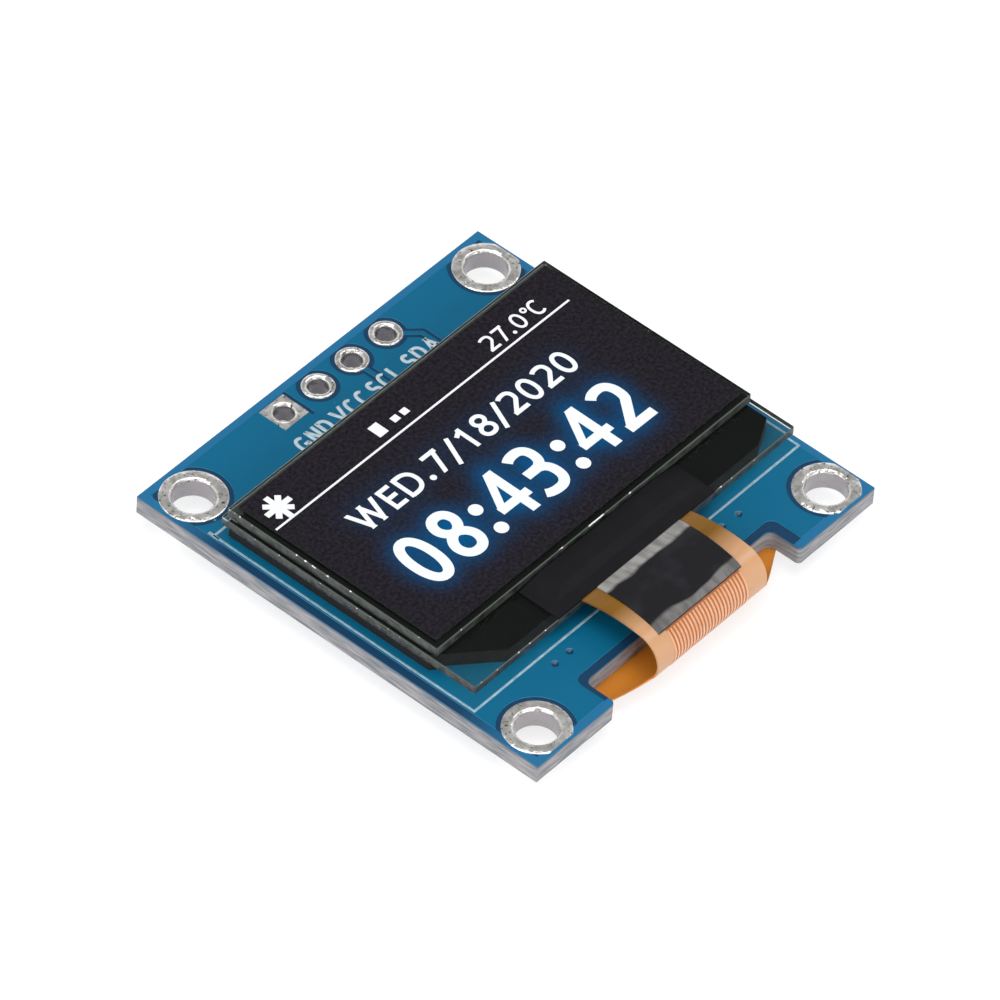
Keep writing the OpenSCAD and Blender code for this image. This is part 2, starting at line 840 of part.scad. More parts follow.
// A moulded case whose sides draft away from its parting line
module moulded_case(size) {
    draft = 0.08;
    lift = copper_relief + 0.08;
    high = copper_relief + size[2];
    middle = (lift + high) / 2;
    intersection() {
        along_y(-size[1] / 2, size[1] / 2)
            polygon([
                [draft - size[0] / 2, lift], [size[0] / 2 - draft, lift], [size[0] / 2, middle],
                [size[0] / 2 - draft, high], [draft - size[0] / 2, high], [-size[0] / 2, middle]
            ]);
        along_x(-size[0] / 2, size[0] / 2)
            polygon([
                [draft - size[1] / 2, lift], [size[1] / 2 - draft, lift], [size[1] / 2, middle],
                [size[1] / 2 - draft, high], [draft - size[1] / 2, high], [-size[1] / 2, middle]
            ]);
    }
}

// A bent leg on the side of a case, at x along it
module leg(size, x, side) {
    root = size[1] / 2 - 0.15;
    knee = size[1] / 2 + 0.12;
    toe = size[1] / 2 + leg_reach;
    middle = copper_relief + size[2] / 2;
    mirror([0, side < 0 ? 1 : 0, 0])
        along_x(x - leg_w / 2, x + leg_w / 2)
            polygon([
                [root, middle], [knee, middle], [knee + leg_t, copper_relief + leg_t],
                [toe, copper_relief + leg_t], [toe, copper_relief], [knee, copper_relief],
                [knee - leg_t, middle - leg_t], [root, middle - leg_t]
            ]);
}

module regulator() {
    color([0.1, 0.1, 0.1])
        on_back(regulator_at) {
            moulded_case(regulator_size);
            leg(regulator_size, regulator_leg_x, 1);
            leg(regulator_size, -regulator_leg_x, 1);
            leg(regulator_size, 0, -1);
        }
}

module diode() {
    color([0.12, 0.12, 0.12])
        on_back(diode_at) {
            moulded_case(diode_size);
            for (side = [-1, 1])
                leg(diode_size, 0, side);
        }
}

module capacitor(i) {
    color([0.66, 0.52, 0.36])
        on_back(capacitor_at[i - 1])
            chip_part(capacitor_size);
}

module resistor(i) {
    color([0.1, 0.1, 0.11])
        on_back(resistor_at[i - 1])
            chip_part(resistor_size);
}

// Pad and fillet at both ends of a chip part
module chip_joints(size) {
    inner = size[0] / 2 - end_cap;
    face = size[0] / 2;
    climb = 0.6 * size[2];
    half = 0.45 * size[1];
    for (side = [0, 1])
        mirror([side, 0, 0])
            along_y(-half, half)
                polygon([
                    [inner, 0], [face + fillet_length, 0], [face + fillet_length, copper_relief],
                    [face + 0.4 * fillet_length, copper_relief + 0.3 * climb],
                    [face, copper_relief + climb], [face, copper_relief], [inner, copper_relief]
                ]);
}

// Pad and fillet at the foot of a leg
module foot_joint(size, x, side) {
    inner = size[1] / 2 + 0.12;
    toe = size[1] / 2 + leg_reach;
    half = 0.6 * leg_w;
    mirror([0, side < 0 ? 1 : 0, 0])
        along_x(x - half, x + half)
            polygon([
                [inner, 0], [toe + fillet_length, 0], [toe + fillet_length, copper_relief],
                [toe, copper_relief + leg_t], [toe, copper_relief], [inner, copper_relief]
            ]);
}

module solder_joints() {
    color([0.75, 0.75, 0.74]) {
        for (p = capacitor_at)
            on_back(p)
                chip_joints(capacitor_size);
        for (p = resistor_at)
            on_back(p)
                chip_joints(resistor_size);
        on_back(regulator_at) {
            foot_joint(regulator_size, regulator_leg_x, 1);
            foot_joint(regulator_size, -regulator_leg_x, 1);
            foot_joint(regulator_size, 0, -1);
        }
        on_back(diode_at)
            for (side = [-1, 1])
                foot_joint(diode_size, 0, side);
        on_back([spare_pad_at[0], spare_pad_at[1], 0])
            translate([-(end_cap + fillet_length) / 2, -0.45 * resistor_size[1], 0])
                cube([end_cap + fillet_length, 0.9 * resistor_size[1], 1.5 * copper_relief]);
    }
}

circuit_board();
for (i = [1:4])
    mounting_ring(i);
for (i = [1:header_count])
    header_ring(i);
foam_tape();
rear_glass();
emitting_film();
edge_seal();
front_glass();
polarizer();
driver_chip();
chip_tape();
flat_cable();
cable_conductors();
cable_tape();
cable_joints();
for (i = [1:capacitor_count])
    capacitor(i);
for (i = [1:resistor_count])
    resistor(i);
regulator();
diode();
solder_joints();
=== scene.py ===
import math

import bmesh
import bpy
from mathutils import Matrix, Vector, kdtree


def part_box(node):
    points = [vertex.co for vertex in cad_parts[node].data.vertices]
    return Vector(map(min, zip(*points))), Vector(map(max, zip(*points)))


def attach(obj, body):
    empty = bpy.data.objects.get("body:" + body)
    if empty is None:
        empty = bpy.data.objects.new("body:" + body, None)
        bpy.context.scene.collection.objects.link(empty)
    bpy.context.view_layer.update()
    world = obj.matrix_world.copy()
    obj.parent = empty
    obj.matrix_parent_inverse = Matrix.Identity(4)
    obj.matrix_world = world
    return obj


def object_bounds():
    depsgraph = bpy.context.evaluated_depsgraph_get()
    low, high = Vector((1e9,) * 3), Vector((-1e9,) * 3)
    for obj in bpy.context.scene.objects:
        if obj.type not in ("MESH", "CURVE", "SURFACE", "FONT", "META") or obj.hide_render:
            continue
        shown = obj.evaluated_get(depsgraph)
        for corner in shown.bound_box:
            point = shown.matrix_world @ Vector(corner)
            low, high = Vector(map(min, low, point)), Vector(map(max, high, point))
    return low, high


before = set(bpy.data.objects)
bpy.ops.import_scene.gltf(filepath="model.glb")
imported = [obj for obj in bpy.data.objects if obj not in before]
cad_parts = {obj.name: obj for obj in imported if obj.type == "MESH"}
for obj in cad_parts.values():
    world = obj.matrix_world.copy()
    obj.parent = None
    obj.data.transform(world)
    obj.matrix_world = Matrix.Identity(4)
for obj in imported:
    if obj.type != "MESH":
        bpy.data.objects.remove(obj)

CAD_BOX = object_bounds()
MM = 0.001


# ---------------------------------------------------------------- frame
# Heights and edges that the printed and lit things sit on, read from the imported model.
BOARD_LOW, BOARD_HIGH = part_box("circuit_board")
COVER_LOW, COVER_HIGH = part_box("front_glass")
PANEL_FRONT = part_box("rear_glass")[0].y
TAPE_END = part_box("cable_tape")[0].y
SCREEN_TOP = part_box("polarizer")[1].z
PIN_AT = [(low + high) / 2 for low, high in (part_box(f"header_ring_{i}") for i in range(1, 5))]
MASK_TOP = BOARD_HIGH.z
MASK_BACK = BOARD_LOW.z
COPPER_RELIEF = 0.04 * MM
BARE_MARGIN = 0.45 * MM


# ---------------------------------------------------------------- colours and nodes
def linear(hex_colour):
    """An sRGB hex colour as linear red, green, blue and alpha."""
    channels = [int(hex_colour[i:i + 2], 16) / 255 for i in (1, 3, 5)]
    return [c / 12.92 if c <= 0.04045 else ((c + 0.055) / 1.055) ** 2.4 for c in channels] + [1.0]


def add(tree, kind, inputs=None, **settings):
    """Adds one node. An input is a plain value, or an output socket to link from. A colour mix
    takes its share at 0 and its colours at 6 and 7, and gives its result at 2. A range runs from
    1 to 2 and gives 3 to 4, or 0 to 1 where these are left out."""
    made = tree.nodes.new(kind)
    for name, value in settings.items():
        setattr(made, name, value)
    for name, value in (inputs or {}).items():
        if isinstance(value, bpy.types.NodeSocket):
            tree.links.new(value, made.inputs[name])
        else:
            made.inputs[name].default_value = value
    return made


def up_facing(tree):
    """How far a face looks up: 1 on a top face, 0 on a wall and -1 on a back face."""
    normal = add(tree, "ShaderNodeNewGeometry").outputs["Normal"]
    return add(tree, "ShaderNodeSeparateXYZ", {"Vector": normal}).outputs["Z"]


def blank(name):
    """A new material with an empty node tree."""
    made = bpy.data.materials.new(name)
    made.use_nodes = True
    made.node_tree.nodes.clear()
    return made, made.node_tree


def patterned(name):
    """A new material, with the Object coordinates that its patterns lie on."""
    made, tree = blank(name)
    return made, tree, add(tree, "ShaderNodeTexCoord").outputs["Object"]


def dress(obj, made):
    """Gives every slot of an object one material."""
    obj.data.materials.clear()
    obj.data.materials.append(made)


def shape(name, bm, made):
    """Ends a working mesh as an object in the scene, with one material."""
    mesh = bpy.data.meshes.new(name)
    bm.to_mesh(mesh)
    bm.free()
    piece = bpy.data.objects.new(name, mesh)
    bpy.context.scene.collection.objects.link(piece)
    dress(piece, made)
    return piece


def outward(bearing, elevation):
    """The unit direction at a bearing and an elevation, in radians."""
    return Vector((
        math.cos(bearing) * math.cos(elevation),
        math.sin(bearing) * math.cos(elevation),
        math.sin(elevation),
    ))


# ---------------------------------------------------------------- camera
# A long lens at the product-shot angle, rolled a little, aimed at the middle of the screen.
AIM = Vector((-0.781, 0.043, 1.16)) * MM
DISTANCE = 482.136 * MM
BEARING = math.radians(-142.588)
ELEVATION = math.radians(46.215)
ROLL = math.radians(4.567)
LENS = 354.73
SENSOR = 36
NEAR, FAR = 0.05, 20


def place_camera():
    """Puts the camera on its bearing and turns it to the middle of the screen."""
    data = bpy.data.cameras.new("camera")
    data.lens = LENS
    data.sensor_width = SENSOR
    data.clip_start = NEAR
    data.clip_end = FAR
    away = outward(BEARING, ELEVATION)
    camera = bpy.data.objects.new("camera", data)
    turn = (-away).to_track_quat("-Z", "Y").to_matrix().to_4x4() @ Matrix.Rotation(ROLL, 4, "Z")
    camera.matrix_world = Matrix.Translation(AIM + away * DISTANCE) @ turn
    bpy.context.scene.collection.objects.link(camera)
    bpy.context.scene.camera = camera


# ---------------------------------------------------------------- light and floor
FLOOR_REACH = 3.0
FLOOR_DROP = 0.01 * MM


def area_lamp(name, bearing, elevation, distance, size, power):
    """A square lamp that looks at the middle of the board. Its angles are in degrees, its distance
    and side in metres and its power in watts."""
    data = bpy.data.lights.new(name, "AREA")
    data.shape = "SQUARE"
    data.size = size
    data.energy = power
    away = outward(math.radians(bearing), math.radians(elevation))
    lamp = bpy.data.objects.new(name, data)
    lamp.matrix_world = Matrix.Translation(away * distance) @ (
        (-away).to_track_quat("-Z", "Y").to_matrix().to_4x4()
    )
    bpy.context.scene.collection.objects.link(lamp)


def light_studio():
    """A wide softbox overhead, two on the near side, a small one low on the right, and a room
    that is bright near the table and dim above, so that flat glossy faces stay dark."""
    area_lamp("overhead_softbox", bearing=-150, elevation=84, distance=0.9, size=0.7, power=4.3)
    area_lamp("left_softbox", bearing=172, elevation=35, distance=0.8, size=0.5, power=2.2)
    area_lamp("front_softbox", bearing=-98, elevation=30, distance=0.8, size=0.5, power=2.0)
    area_lamp("right_softbox", bearing=-20, elevation=54, distance=0.9, size=0.3, power=0.9)
    world = bpy.data.worlds.new("studio_room")
    world.use_nodes = True
    tree = world.node_tree
    tree.nodes.clear()
    ray = add(tree, "ShaderNodeTexCoord").outputs["Generated"]
    height = add(tree, "ShaderNodeSeparateXYZ", {"Vector": ray}).outputs["Z"]
    level = add(tree, "ShaderNodeMapRange", {0: height, 1: 0.3, 2: 0.6, 3: 1.0, 4: 0.1})
    room = add(tree, "ShaderNodeBackground", {
        "Color": linear("#ffffff"), "Strength": level.outputs[0],
    })
    add(tree, "ShaderNodeOutputWorld", {"Surface": room.outputs[0]})
    bpy.context.scene.world = world


def lay_floor():
    """A matt white table top, wide enough to fill every view. Seen straight, in metal or through
    glass it reads as plain white with a soft shadow; other light meets a white matt board."""
    made, tree = blank("white_matt_laminate_table")
    matt = add(tree, "ShaderNodeBsdfDiffuse", {"Color": linear("#f4f4f4")})
    shaded = add(tree, "ShaderNodeBsdfDiffuse", {"Color": linear("#9c9c9c")})
    paper = add(tree, "ShaderNodeEmission", {"Color": linear("#ffffff"), "Strength": 0.76})
    ray = add(tree, "ShaderNodeLightPath")
    seen = add(tree, "ShaderNodeMath", {
        0: ray.outputs["Is Camera Ray"], 1: ray.outputs["Is Glossy Ray"],
    }, operation="MAXIMUM")
    seen = add(tree, "ShaderNodeMath", {
        0: seen.outputs[0], 1: ray.outputs["Is Transmission Ray"],
    }, operation="MAXIMUM")
    both = add(tree, "ShaderNodeAddShader", {0: shaded.outputs[0], 1: paper.outputs[0]})
    surface = add(tree, "ShaderNodeMixShader", {
        0: seen.outputs[0], 1: matt.outputs[0], 2: both.outputs[0],
    })
    add(tree, "ShaderNodeOutputMaterial", {"Surface": surface.outputs[0]})
    bm = bmesh.new()
    bmesh.ops.create_grid(bm, x_segments=1, y_segments=1, size=FLOOR_REACH)
    # a hair below the lowest case, so that the two faces never fall in one plane
    bmesh.ops.translate(bm, verts=bm.verts, vec=(0, 0, CAD_BOX[0].z - FLOOR_DROP))
    floor = shape("floor", bm, made)


# ---------------------------------------------------------------- materials
# How level a bevel of 45 degrees is, where a flat face has 1.
BEVEL_LEVEL = 0.707


def solder_mask():
    """Blue liquid-photo-imaged solder mask on FR-4: teal where copper lies under it, navy where
    bare laminate does, a pale line where it steps down, and milled glass fibre on the cut edge."""
    relief_middle = 0.5 * COPPER_RELIEF
    dark_reach, pale_reach = 7.5 * MM, 11.5 * MM
    lip_low, lip_high = MASK_TOP - 0.24 * MM, MASK_TOP - 0.1 * MM
    made, tree, place = patterned("solder_mask_on_fr4")
    axes = add(tree, "ShaderNodeSeparateXYZ", {"Vector": place})
    level = add(tree, "ShaderNodeMath", {0: up_facing(tree)}, operation="ABSOLUTE").outputs[0]
    wall = add(tree, "ShaderNodeMath", {0: level, 1: 0.5}, operation="LESS_THAN")
    over_front = add(tree, "ShaderNodeMath", {
        0: axes.outputs["Z"], 1: MASK_TOP - relief_middle,
    }, operation="GREATER_THAN")
    over_back = add(tree, "ShaderNodeMath", {
        0: axes.outputs["Z"], 1: MASK_BACK + relief_middle,
    }, operation="LESS_THAN")
    copper = add(tree, "ShaderNodeMath", {
        0: over_front.outputs[0], 1: over_back.outputs[0],
    }, operation="MAXIMUM")
    cloud = add(tree, "ShaderNodeTexNoise", {"Vector": place, "Scale": 1 / (6 * MM), "Detail": 3})
    teal = add(tree, "ShaderNodeMix", {
        0: cloud.outputs["Fac"], 6: linear("#046388"), 7: linear("#08698e"),
    }, data_type="RGBA")
    # painted light: the bare margin is painted paler, as light coming up through the laminate makes
    # it, away from the left edge
    middle = (BOARD_LOW + BOARD_HIGH) / 2
    half = (BOARD_HIGH - BOARD_LOW) / 2
    centred = add(tree, "ShaderNodeMapping", {"Vector": place, "Location": -middle})
    spread = add(tree, "ShaderNodeVectorMath", {0: centred.outputs[0]}, operation="ABSOLUTE")
    offset = add(tree, "ShaderNodeSeparateXYZ", {"Vector": spread.outputs[0]})
    near_side = add(tree, "ShaderNodeMath", {
        0: offset.outputs["X"], 1: half.x - BARE_MARGIN,
    }, operation="GREATER_THAN")
    near_end = add(tree, "ShaderNodeMath", {
        0: offset.outputs["Y"], 1: half.y - BARE_MARGIN,
    }, operation="GREATER_THAN")
    margin = add(tree, "ShaderNodeMath", {
        0: near_side.outputs[0], 1: near_end.outputs[0],
    }, operation="MAXIMUM")
    dark_end = add(tree, "ShaderNodeVectorMath", {
        0: place, 1: (BOARD_LOW.x, 0, MASK_TOP),
    }, operation="DISTANCE")
    away = add(tree, "ShaderNodeMapRange", {
        0: dark_end.outputs["Value"], 1: dark_reach, 2: pale_reach,
    })
    pale = add(tree, "ShaderNodeMath", {
        0: margin.outputs[0], 1: away.outputs[0],
    }, operation="MULTIPLY")
    bare = add(tree, "ShaderNodeMix", {
        0: pale.outputs[0], 6: linear("#153f60"), 7: linear("#236f9c"),
    }, data_type="RGBA")
    mask = add(tree, "ShaderNodeMix", {
        0: copper.outputs[0], 6: bare.outputs[2], 7: teal.outputs[2],
    }, data_type="RGBA")
    # dust: a few pale specks a tenth of a millimetre across
    dust = add(tree, "ShaderNodeTexNoise", {"Vector": place, "Scale": 1 / (0.35 * MM), "Detail": 1})
    speck = add(tree, "ShaderNodeMapRange", {0: dust.outputs["Fac"], 1: 0.80, 2: 0.86})
    dusty = add(tree, "ShaderNodeMix", {
        0: speck.outputs[0], 6: mask.outputs[2], 7: linear("#6f9bb4"),
    }, data_type="RGBA")
    # cut edge: layers of glass cloth a sixth of a millimetre apart, drawn out along the edge
    stretched = add(tree, "ShaderNodeMapping", {"Vector": place, "Scale": (1, 1, 9)})
    fibre = add(tree, "ShaderNodeTexNoise", {
        "Vector": stretched.outputs[0], "Scale": 1 / (1.4 * MM), "Detail": 5,
    })
    fibre_range = add(tree, "ShaderNodeMapRange", {0: fibre.outputs["Fac"], 1: 0.36, 2: 0.66})
    laminate = add(tree, "ShaderNodeMix", {
        0: fibre_range.outputs[0], 6: linear("#747b80"), 7: linear("#aba6a9"),
    }, data_type="RGBA")
    lip = add(tree, "ShaderNodeMapRange", {0: axes.outputs["Z"], 1: lip_low, 2: lip_high})
    edge = add(tree, "ShaderNodeMix", {
        0: lip.outputs[0], 6: laminate.outputs[2], 7: linear("#446683"),
    }, data_type="RGBA")
    # the pale step line is partly the thinner mask over the copper's edge and partly a painted
    # highlight
    step_line = add(tree, "ShaderNodeMath", {
        0: axes.outputs["Z"], 1: MASK_TOP - 0.99 * COPPER_RELIEF,
    }, operation="GREATER_THAN")
    side = add(tree, "ShaderNodeMix", {
        0: step_line.outputs[0], 6: edge.outputs[2], 7: linear("#4a93b8"),
    }, data_type="RGBA")
    colour = add(tree, "ShaderNodeMix", {
        0: wall.outputs[0], 6: dusty.outputs[2], 7: side.outputs[2],
    }, data_type="RGBA")
    roughness = add(tree, "ShaderNodeMapRange", {0: wall.outputs[0], 3: 0.28, 4: 0.75})
    peel = add(tree, "ShaderNodeTexNoise", {"Vector": place, "Scale": 1 / (0.5 * MM), "Detail": 2})
    bump = add(tree, "ShaderNodeBump", {
        "Height": peel.outputs["Fac"], "Distance": 0.004 * MM, "Strength": 0.35,
    })
    shader = add(tree, "ShaderNodeBsdfPrincipled", {
        "Base Color": colour.outputs[2],
        "Roughness": roughness.outputs[0],
        "Normal": bump.outputs[0],
        "IOR": 1.5,
    })
    add(tree, "ShaderNodeOutputMaterial", {"Surface": shader.outputs[0]})
    return made


def hot_air_levelled_tin(name, barrel_shade_hex):
    """Tin from a solder bath, levelled by hot air: pale and softly rolled, with dark specks, and
    less metallic inside the barrels, whose walls take the given barrel colour as painted shade."""
    barrel_top = MASK_TOP - 0.1 * MM
    made, tree, place = patterned(name)
    level = add(tree, "ShaderNodeMath", {0: up_facing(tree)}, operation="ABSOLUTE").outputs[0]
    depth = add(tree, "ShaderNodeSeparateXYZ", {"Vector": place})
    wall = add(tree, "ShaderNodeMath", {0: level, 1: 0.3}, operation="LESS_THAN")
    inside = add(tree, "ShaderNodeMath", {
        0: depth.outputs["Z"], 1: barrel_top,
    }, operation="LESS_THAN")
    barrel = add(tree, "ShaderNodeMath", {
        0: wall.outputs[0], 1: inside.outputs[0],
    }, operation="MULTIPLY")
    soft = add(tree, "ShaderNodeTexNoise", {"Vector": place, "Scale": 1 / (0.5 * MM), "Detail": 3})
    cloudy = add(tree, "ShaderNodeMapRange", {0: soft.outputs["Fac"], 1: 0.35, 2: 0.62})
    face = add(tree, "ShaderNodeMix", {
        0: cloudy.outputs[0], 6: linear("#cfccc7"), 7: linear("#fbf9f6"),
    }, data_type="RGBA")
    pits = add(tree, "ShaderNodeTexNoise", {"Vector": place, "Scale": 1 / (0.2 * MM), "Detail": 4})
    dark = add(tree, "ShaderNodeMapRange", {0: pits.outputs["Fac"], 1: 0.60, 2: 0.68})
    specked = add(tree, "ShaderNodeMix", {
        0: dark.outputs[0], 6: face.outputs[2], 7: linear("#55504a"),
    }, data_type="RGBA")
    # painted shade: the barrel walls below the pad take the darker barrel colour
    colour = add(tree, "ShaderNodeMix", {
        0: barrel.outputs[0], 6: specked.outputs[2], 7: linear(barrel_shade_hex),
    }, data_type="RGBA")
    metal = add(tree, "ShaderNodeMapRange", {0: barrel.outputs[0], 3: 0.66, 4: 0.45})
    roughness = add(tree, "ShaderNodeMapRange", {
        0: soft.outputs["Fac"], 1: 0.3, 2: 0.7, 3: 0.14, 4: 0.26,
    })
    bump = add(tree, "ShaderNodeBump", {
        "Height": soft.outputs["Fac"], "Distance": 0.09 * MM, "Strength": 1.0,
    })
    shader = add(tree, "ShaderNodeBsdfPrincipled", {
        "Base Color": colour.outputs[2],
        "Metallic": metal.outputs[0],
        "Roughness": roughness.outputs[0],
        "Normal": bump.outputs[0],
    })
    add(tree, "ShaderNodeOutputMaterial", {"Surface": shader.outputs[0]})
    return made


def closed_cell_foam():
    """Black acrylic foam tape: matt, with cells a tenth of a millimetre across on its cut edge."""
    made, tree, place = patterned("closed_cell_foam")
    cells = add(tree, "ShaderNodeTexVoronoi", {"Vector": place, "Scale": 1 / (0.1 * MM)})
    colour = add(tree, "ShaderNodeMix", {
        0: cells.outputs["Distance"], 6: linear("#0a0a0c"), 7: linear("#141417"),
    }, data_type="RGBA")
    bump = add(tree, "ShaderNodeBump", {"Height": cells.outputs["Distance"], "Distance": 0.02 * MM})
    shader = add(tree, "ShaderNodeBsdfPrincipled", {
        "Base Color": colour.outputs[2],
        "Roughness": 0.85,
        "Normal": bump.outputs[0],
    })
    add(tree, "ShaderNodeOutputMaterial", {"Surface": shader.outputs[0]})
    return made


def display_glass(name, wall_hex, wall_share, flake_at=None):
    """Alkali-free display glass with ground bevels and snapped walls: clear on its faces, a thin
    grey line with a few white chips on the bevels, dull and dark on the walls. Lamps shine through
    it to what lies behind. The walls are dull by wall_share, in wall_hex, and flake_at is the
    middle of one long chip."""
    chip_reach = 0.6 * MM
    chip_core = 0.5 * MM
    header_bevel = COVER_HIGH.y - 0.2 * MM
    made, tree, place = patterned(name)
    level = add(tree, "ShaderNodeMath", {0: up_facing(tree)}, operation="ABSOLUTE").outputs[0]
    wall = add(tree, "ShaderNodeMath", {0: level, 1: 0.4}, operation="LESS_THAN")
    bevel = add(tree, "ShaderNodeMath", {0: level, 1: BEVEL_LEVEL, 2: 0.1}, operation="COMPARE")
    clear = add(tree, "ShaderNodeBsdfPrincipled", {
        "Base Color": linear("#e4e9e4"),
        "Roughness": 0.02,
        "IOR": 1.5,
        "Transmission Weight": 1.0,
    })
    # snapped wall: shell-like marks half a millimetre long
    shells = add(tree, "ShaderNodeTexNoise", {
        "Vector": place, "Scale": 1 / (0.5 * MM), "Detail": 5,
    })
    marks = add(tree, "ShaderNodeMapRange", {0: shells.outputs["Fac"], 1: 0.35, 2: 0.75})
    wall_colour = add(tree, "ShaderNodeMix", {
        0: marks.outputs[0], 6: linear(wall_hex), 7: linear("#5a605a"),
    }, data_type="RGBA")
    bump = add(tree, "ShaderNodeBump", {
        "Height": shells.outputs["Fac"], "Distance": 0.04 * MM, "Strength": 0.5,
    })
    dull = add(tree, "ShaderNodeBsdfPrincipled", {
        "Base Color": wall_colour.outputs[2],
        "Roughness": 0.35,
        "Normal": bump.outputs[0],
    })
    on_wall = add(tree, "ShaderNodeMath", {0: wall.outputs[0], 1: wall_share}, operation="MULTIPLY")
    walled = add(tree, "ShaderNodeMixShader", {
        0: on_wall.outputs[0], 1: clear.outputs[0], 2: dull.outputs[0],
    })
    # ground bevel: light scatters in its fine pits, and here and there a chip shows white
    chips = add(tree, "ShaderNodeTexNoise", {"Vector": place, "Scale": 1 / (0.3 * MM), "Detail": 3})
    flake = add(tree, "ShaderNodeMapRange", {0: chips.outputs["Fac"], 1: 0.66, 2: 0.70})
    if flake_at:
        gap = add(tree, "ShaderNodeVectorMath", {0: place, 1: flake_at}, operation="DISTANCE")
        long_chip = add(tree, "ShaderNodeMapRange", {
            0: gap.outputs["Value"], 1: chip_reach, 2: chip_core,
        })
        flake = add(tree, "ShaderNodeMath", {
            0: flake.outputs[0], 1: long_chip.outputs[0],
        }, operation="MAXIMUM")
    axes = add(tree, "ShaderNodeSeparateXYZ", {"Vector": place})
    # painted highlight: the bevel along the header side is painted a lighter grey than the others
    at_back = add(tree, "ShaderNodeMath", {
        0: axes.outputs["Y"], 1: header_bevel,
    }, operation="GREATER_THAN")
    plain = add(tree, "ShaderNodeMix", {
        0: at_back.outputs[0], 6: linear("#505652"), 7: linear("#a4a8a8"),
    }, data_type="RGBA")
    ground_colour = add(tree, "ShaderNodeMix", {
        0: flake.outputs[0], 6: plain.outputs[2], 7: linear("#eef0ee"),
    }, data_type="RGBA")
    ground = add(tree, "ShaderNodeBsdfPrincipled", {
        "Base Color": ground_colour.outputs[2],
        "Roughness": 0.6,
        "Specular IOR Level": 0.2,
    })
    solid = add(tree, "ShaderNodeMixShader", {
        0: bevel.outputs[0], 1: walled.outputs[0], 2: ground.outputs[0],
    })
    passing = add(tree, "ShaderNodeBsdfTransparent", {"Color": linear("#e6ede7")})
    ray = add(tree, "ShaderNodeLightPath")
    surface = add(tree, "ShaderNodeMixShader", {
        0: ray.outputs["Is Shadow Ray"], 1: solid.outputs[0], 2: passing.outputs[0],
    })
    add(tree, "ShaderNodeOutputMaterial", {"Surface": surface.outputs[0]})
    return made


def cured_epoxy_seal():
    """The cured bead between the two glasses: near black along the front and sides, and a lighter,
    cloudy grey along the header side."""
    grey_from, grey_to = COVER_HIGH.y - 0.7 * MM, COVER_HIGH.y - 0.6 * MM
    made, tree, place = patterned("cured_epoxy_bead")
    axes = add(tree, "ShaderNodeSeparateXYZ", {"Vector": place})
    cloud = add(tree, "ShaderNodeTexNoise", {"Vector": place, "Scale": 1 / (1.0 * MM), "Detail": 5})
    black = add(tree, "ShaderNodeMix", {
        0: cloud.outputs["Fac"], 6: linear("#161917"), 7: linear("#2c2f2c"),
    }, data_type="RGBA")
    grey = add(tree, "ShaderNodeMix", {
        0: cloud.outputs["Fac"], 6: linear("#65686a"), 7: linear("#9a9da0"),
    }, data_type="RGBA")
    at_back = add(tree, "ShaderNodeMapRange", {
        0: axes.outputs["Y"], 1: grey_from, 2: grey_to,
    })
    colour = add(tree, "ShaderNodeMix", {
        0: at_back.outputs[0], 6: black.outputs[2], 7: grey.outputs[2],
    }, data_type="RGBA")
    shader = add(tree, "ShaderNodeBsdfPrincipled", {
        "Base Color": colour.outputs[2], "Roughness": 0.6,
    })
    add(tree, "ShaderNodeOutputMaterial", {"Surface": shader.outputs[0]})
    return made


def polarizer_film():
    """Iodine-dyed polarizer with a smooth hard coat: almost black, with a faint purple and brown
    grain, dark where the film was cut and pale along the cut's burr."""
    made, tree, place = patterned("dyed_polarizer_film")
    up = up_facing(tree)
    cut = add(tree, "ShaderNodeMath", {0: up, 1: 0.3}, operation="LESS_THAN")
    burr = add(tree, "ShaderNodeMath", {0: up, 1: BEVEL_LEVEL, 2: 0.2}, operation="COMPARE")
    # grain of about a tenth of a millimetre, drawn twice as coarse so that it shows
    grain = add(tree, "ShaderNodeTexNoise", {"Vector": place, "Scale": 1 / (0.2 * MM), "Detail": 4})
    tint = add(tree, "ShaderNodeMapRange", {0: grain.outputs["Fac"], 1: 0.38, 2: 0.66})
    dye = add(tree, "ShaderNodeMix", {
        0: tint.outputs[0], 6: linear("#19161c"), 7: linear("#29252d"),
    }, data_type="RGBA")
    edge = add(tree, "ShaderNodeMix", {
        0: burr.outputs[0], 6: dye.outputs[2], 7: linear("#6a6e6c"),
    }, data_type="RGBA")
    colour = add(tree, "ShaderNodeMix", {
        0: cut.outputs[0], 6: edge.outputs[2], 7: linear("#2b302d"),
    }, data_type="RGBA")
    shader = add(tree, "ShaderNodeBsdfPrincipled", {
        "Base Color": colour.outputs[2],
        "Roughness": 0.12,
        "IOR": 1.49,
    })
    add(tree, "ShaderNodeOutputMaterial", {"Surface": shader.outputs[0]})
    return made


def emitting_layers():
    """Vacuum-deposited organic layers under a metal cathode: dark and faintly mirror-like when
    unlit."""
    made, tree, place = patterned("deposited_emitting_layers")
    rows = add(tree, "ShaderNodeTexWave", {
        "Vector": place, "Scale": 1 / (1.06 * MM),
    }, bands_direction="Y")
    colour = add(tree, "ShaderNodeMix", {
        0: rows.outputs["Fac"], 6: linear("#14181b"), 7: linear("#23292c"),
    }, data_type="RGBA")
    shader = add(tree, "ShaderNodeBsdfPrincipled", {
        "Base Color": colour.outputs[2], "Roughness": 0.3,
    })
    add(tree, "ShaderNodeOutputMaterial", {"Surface": shader.outputs[0]})
    return made


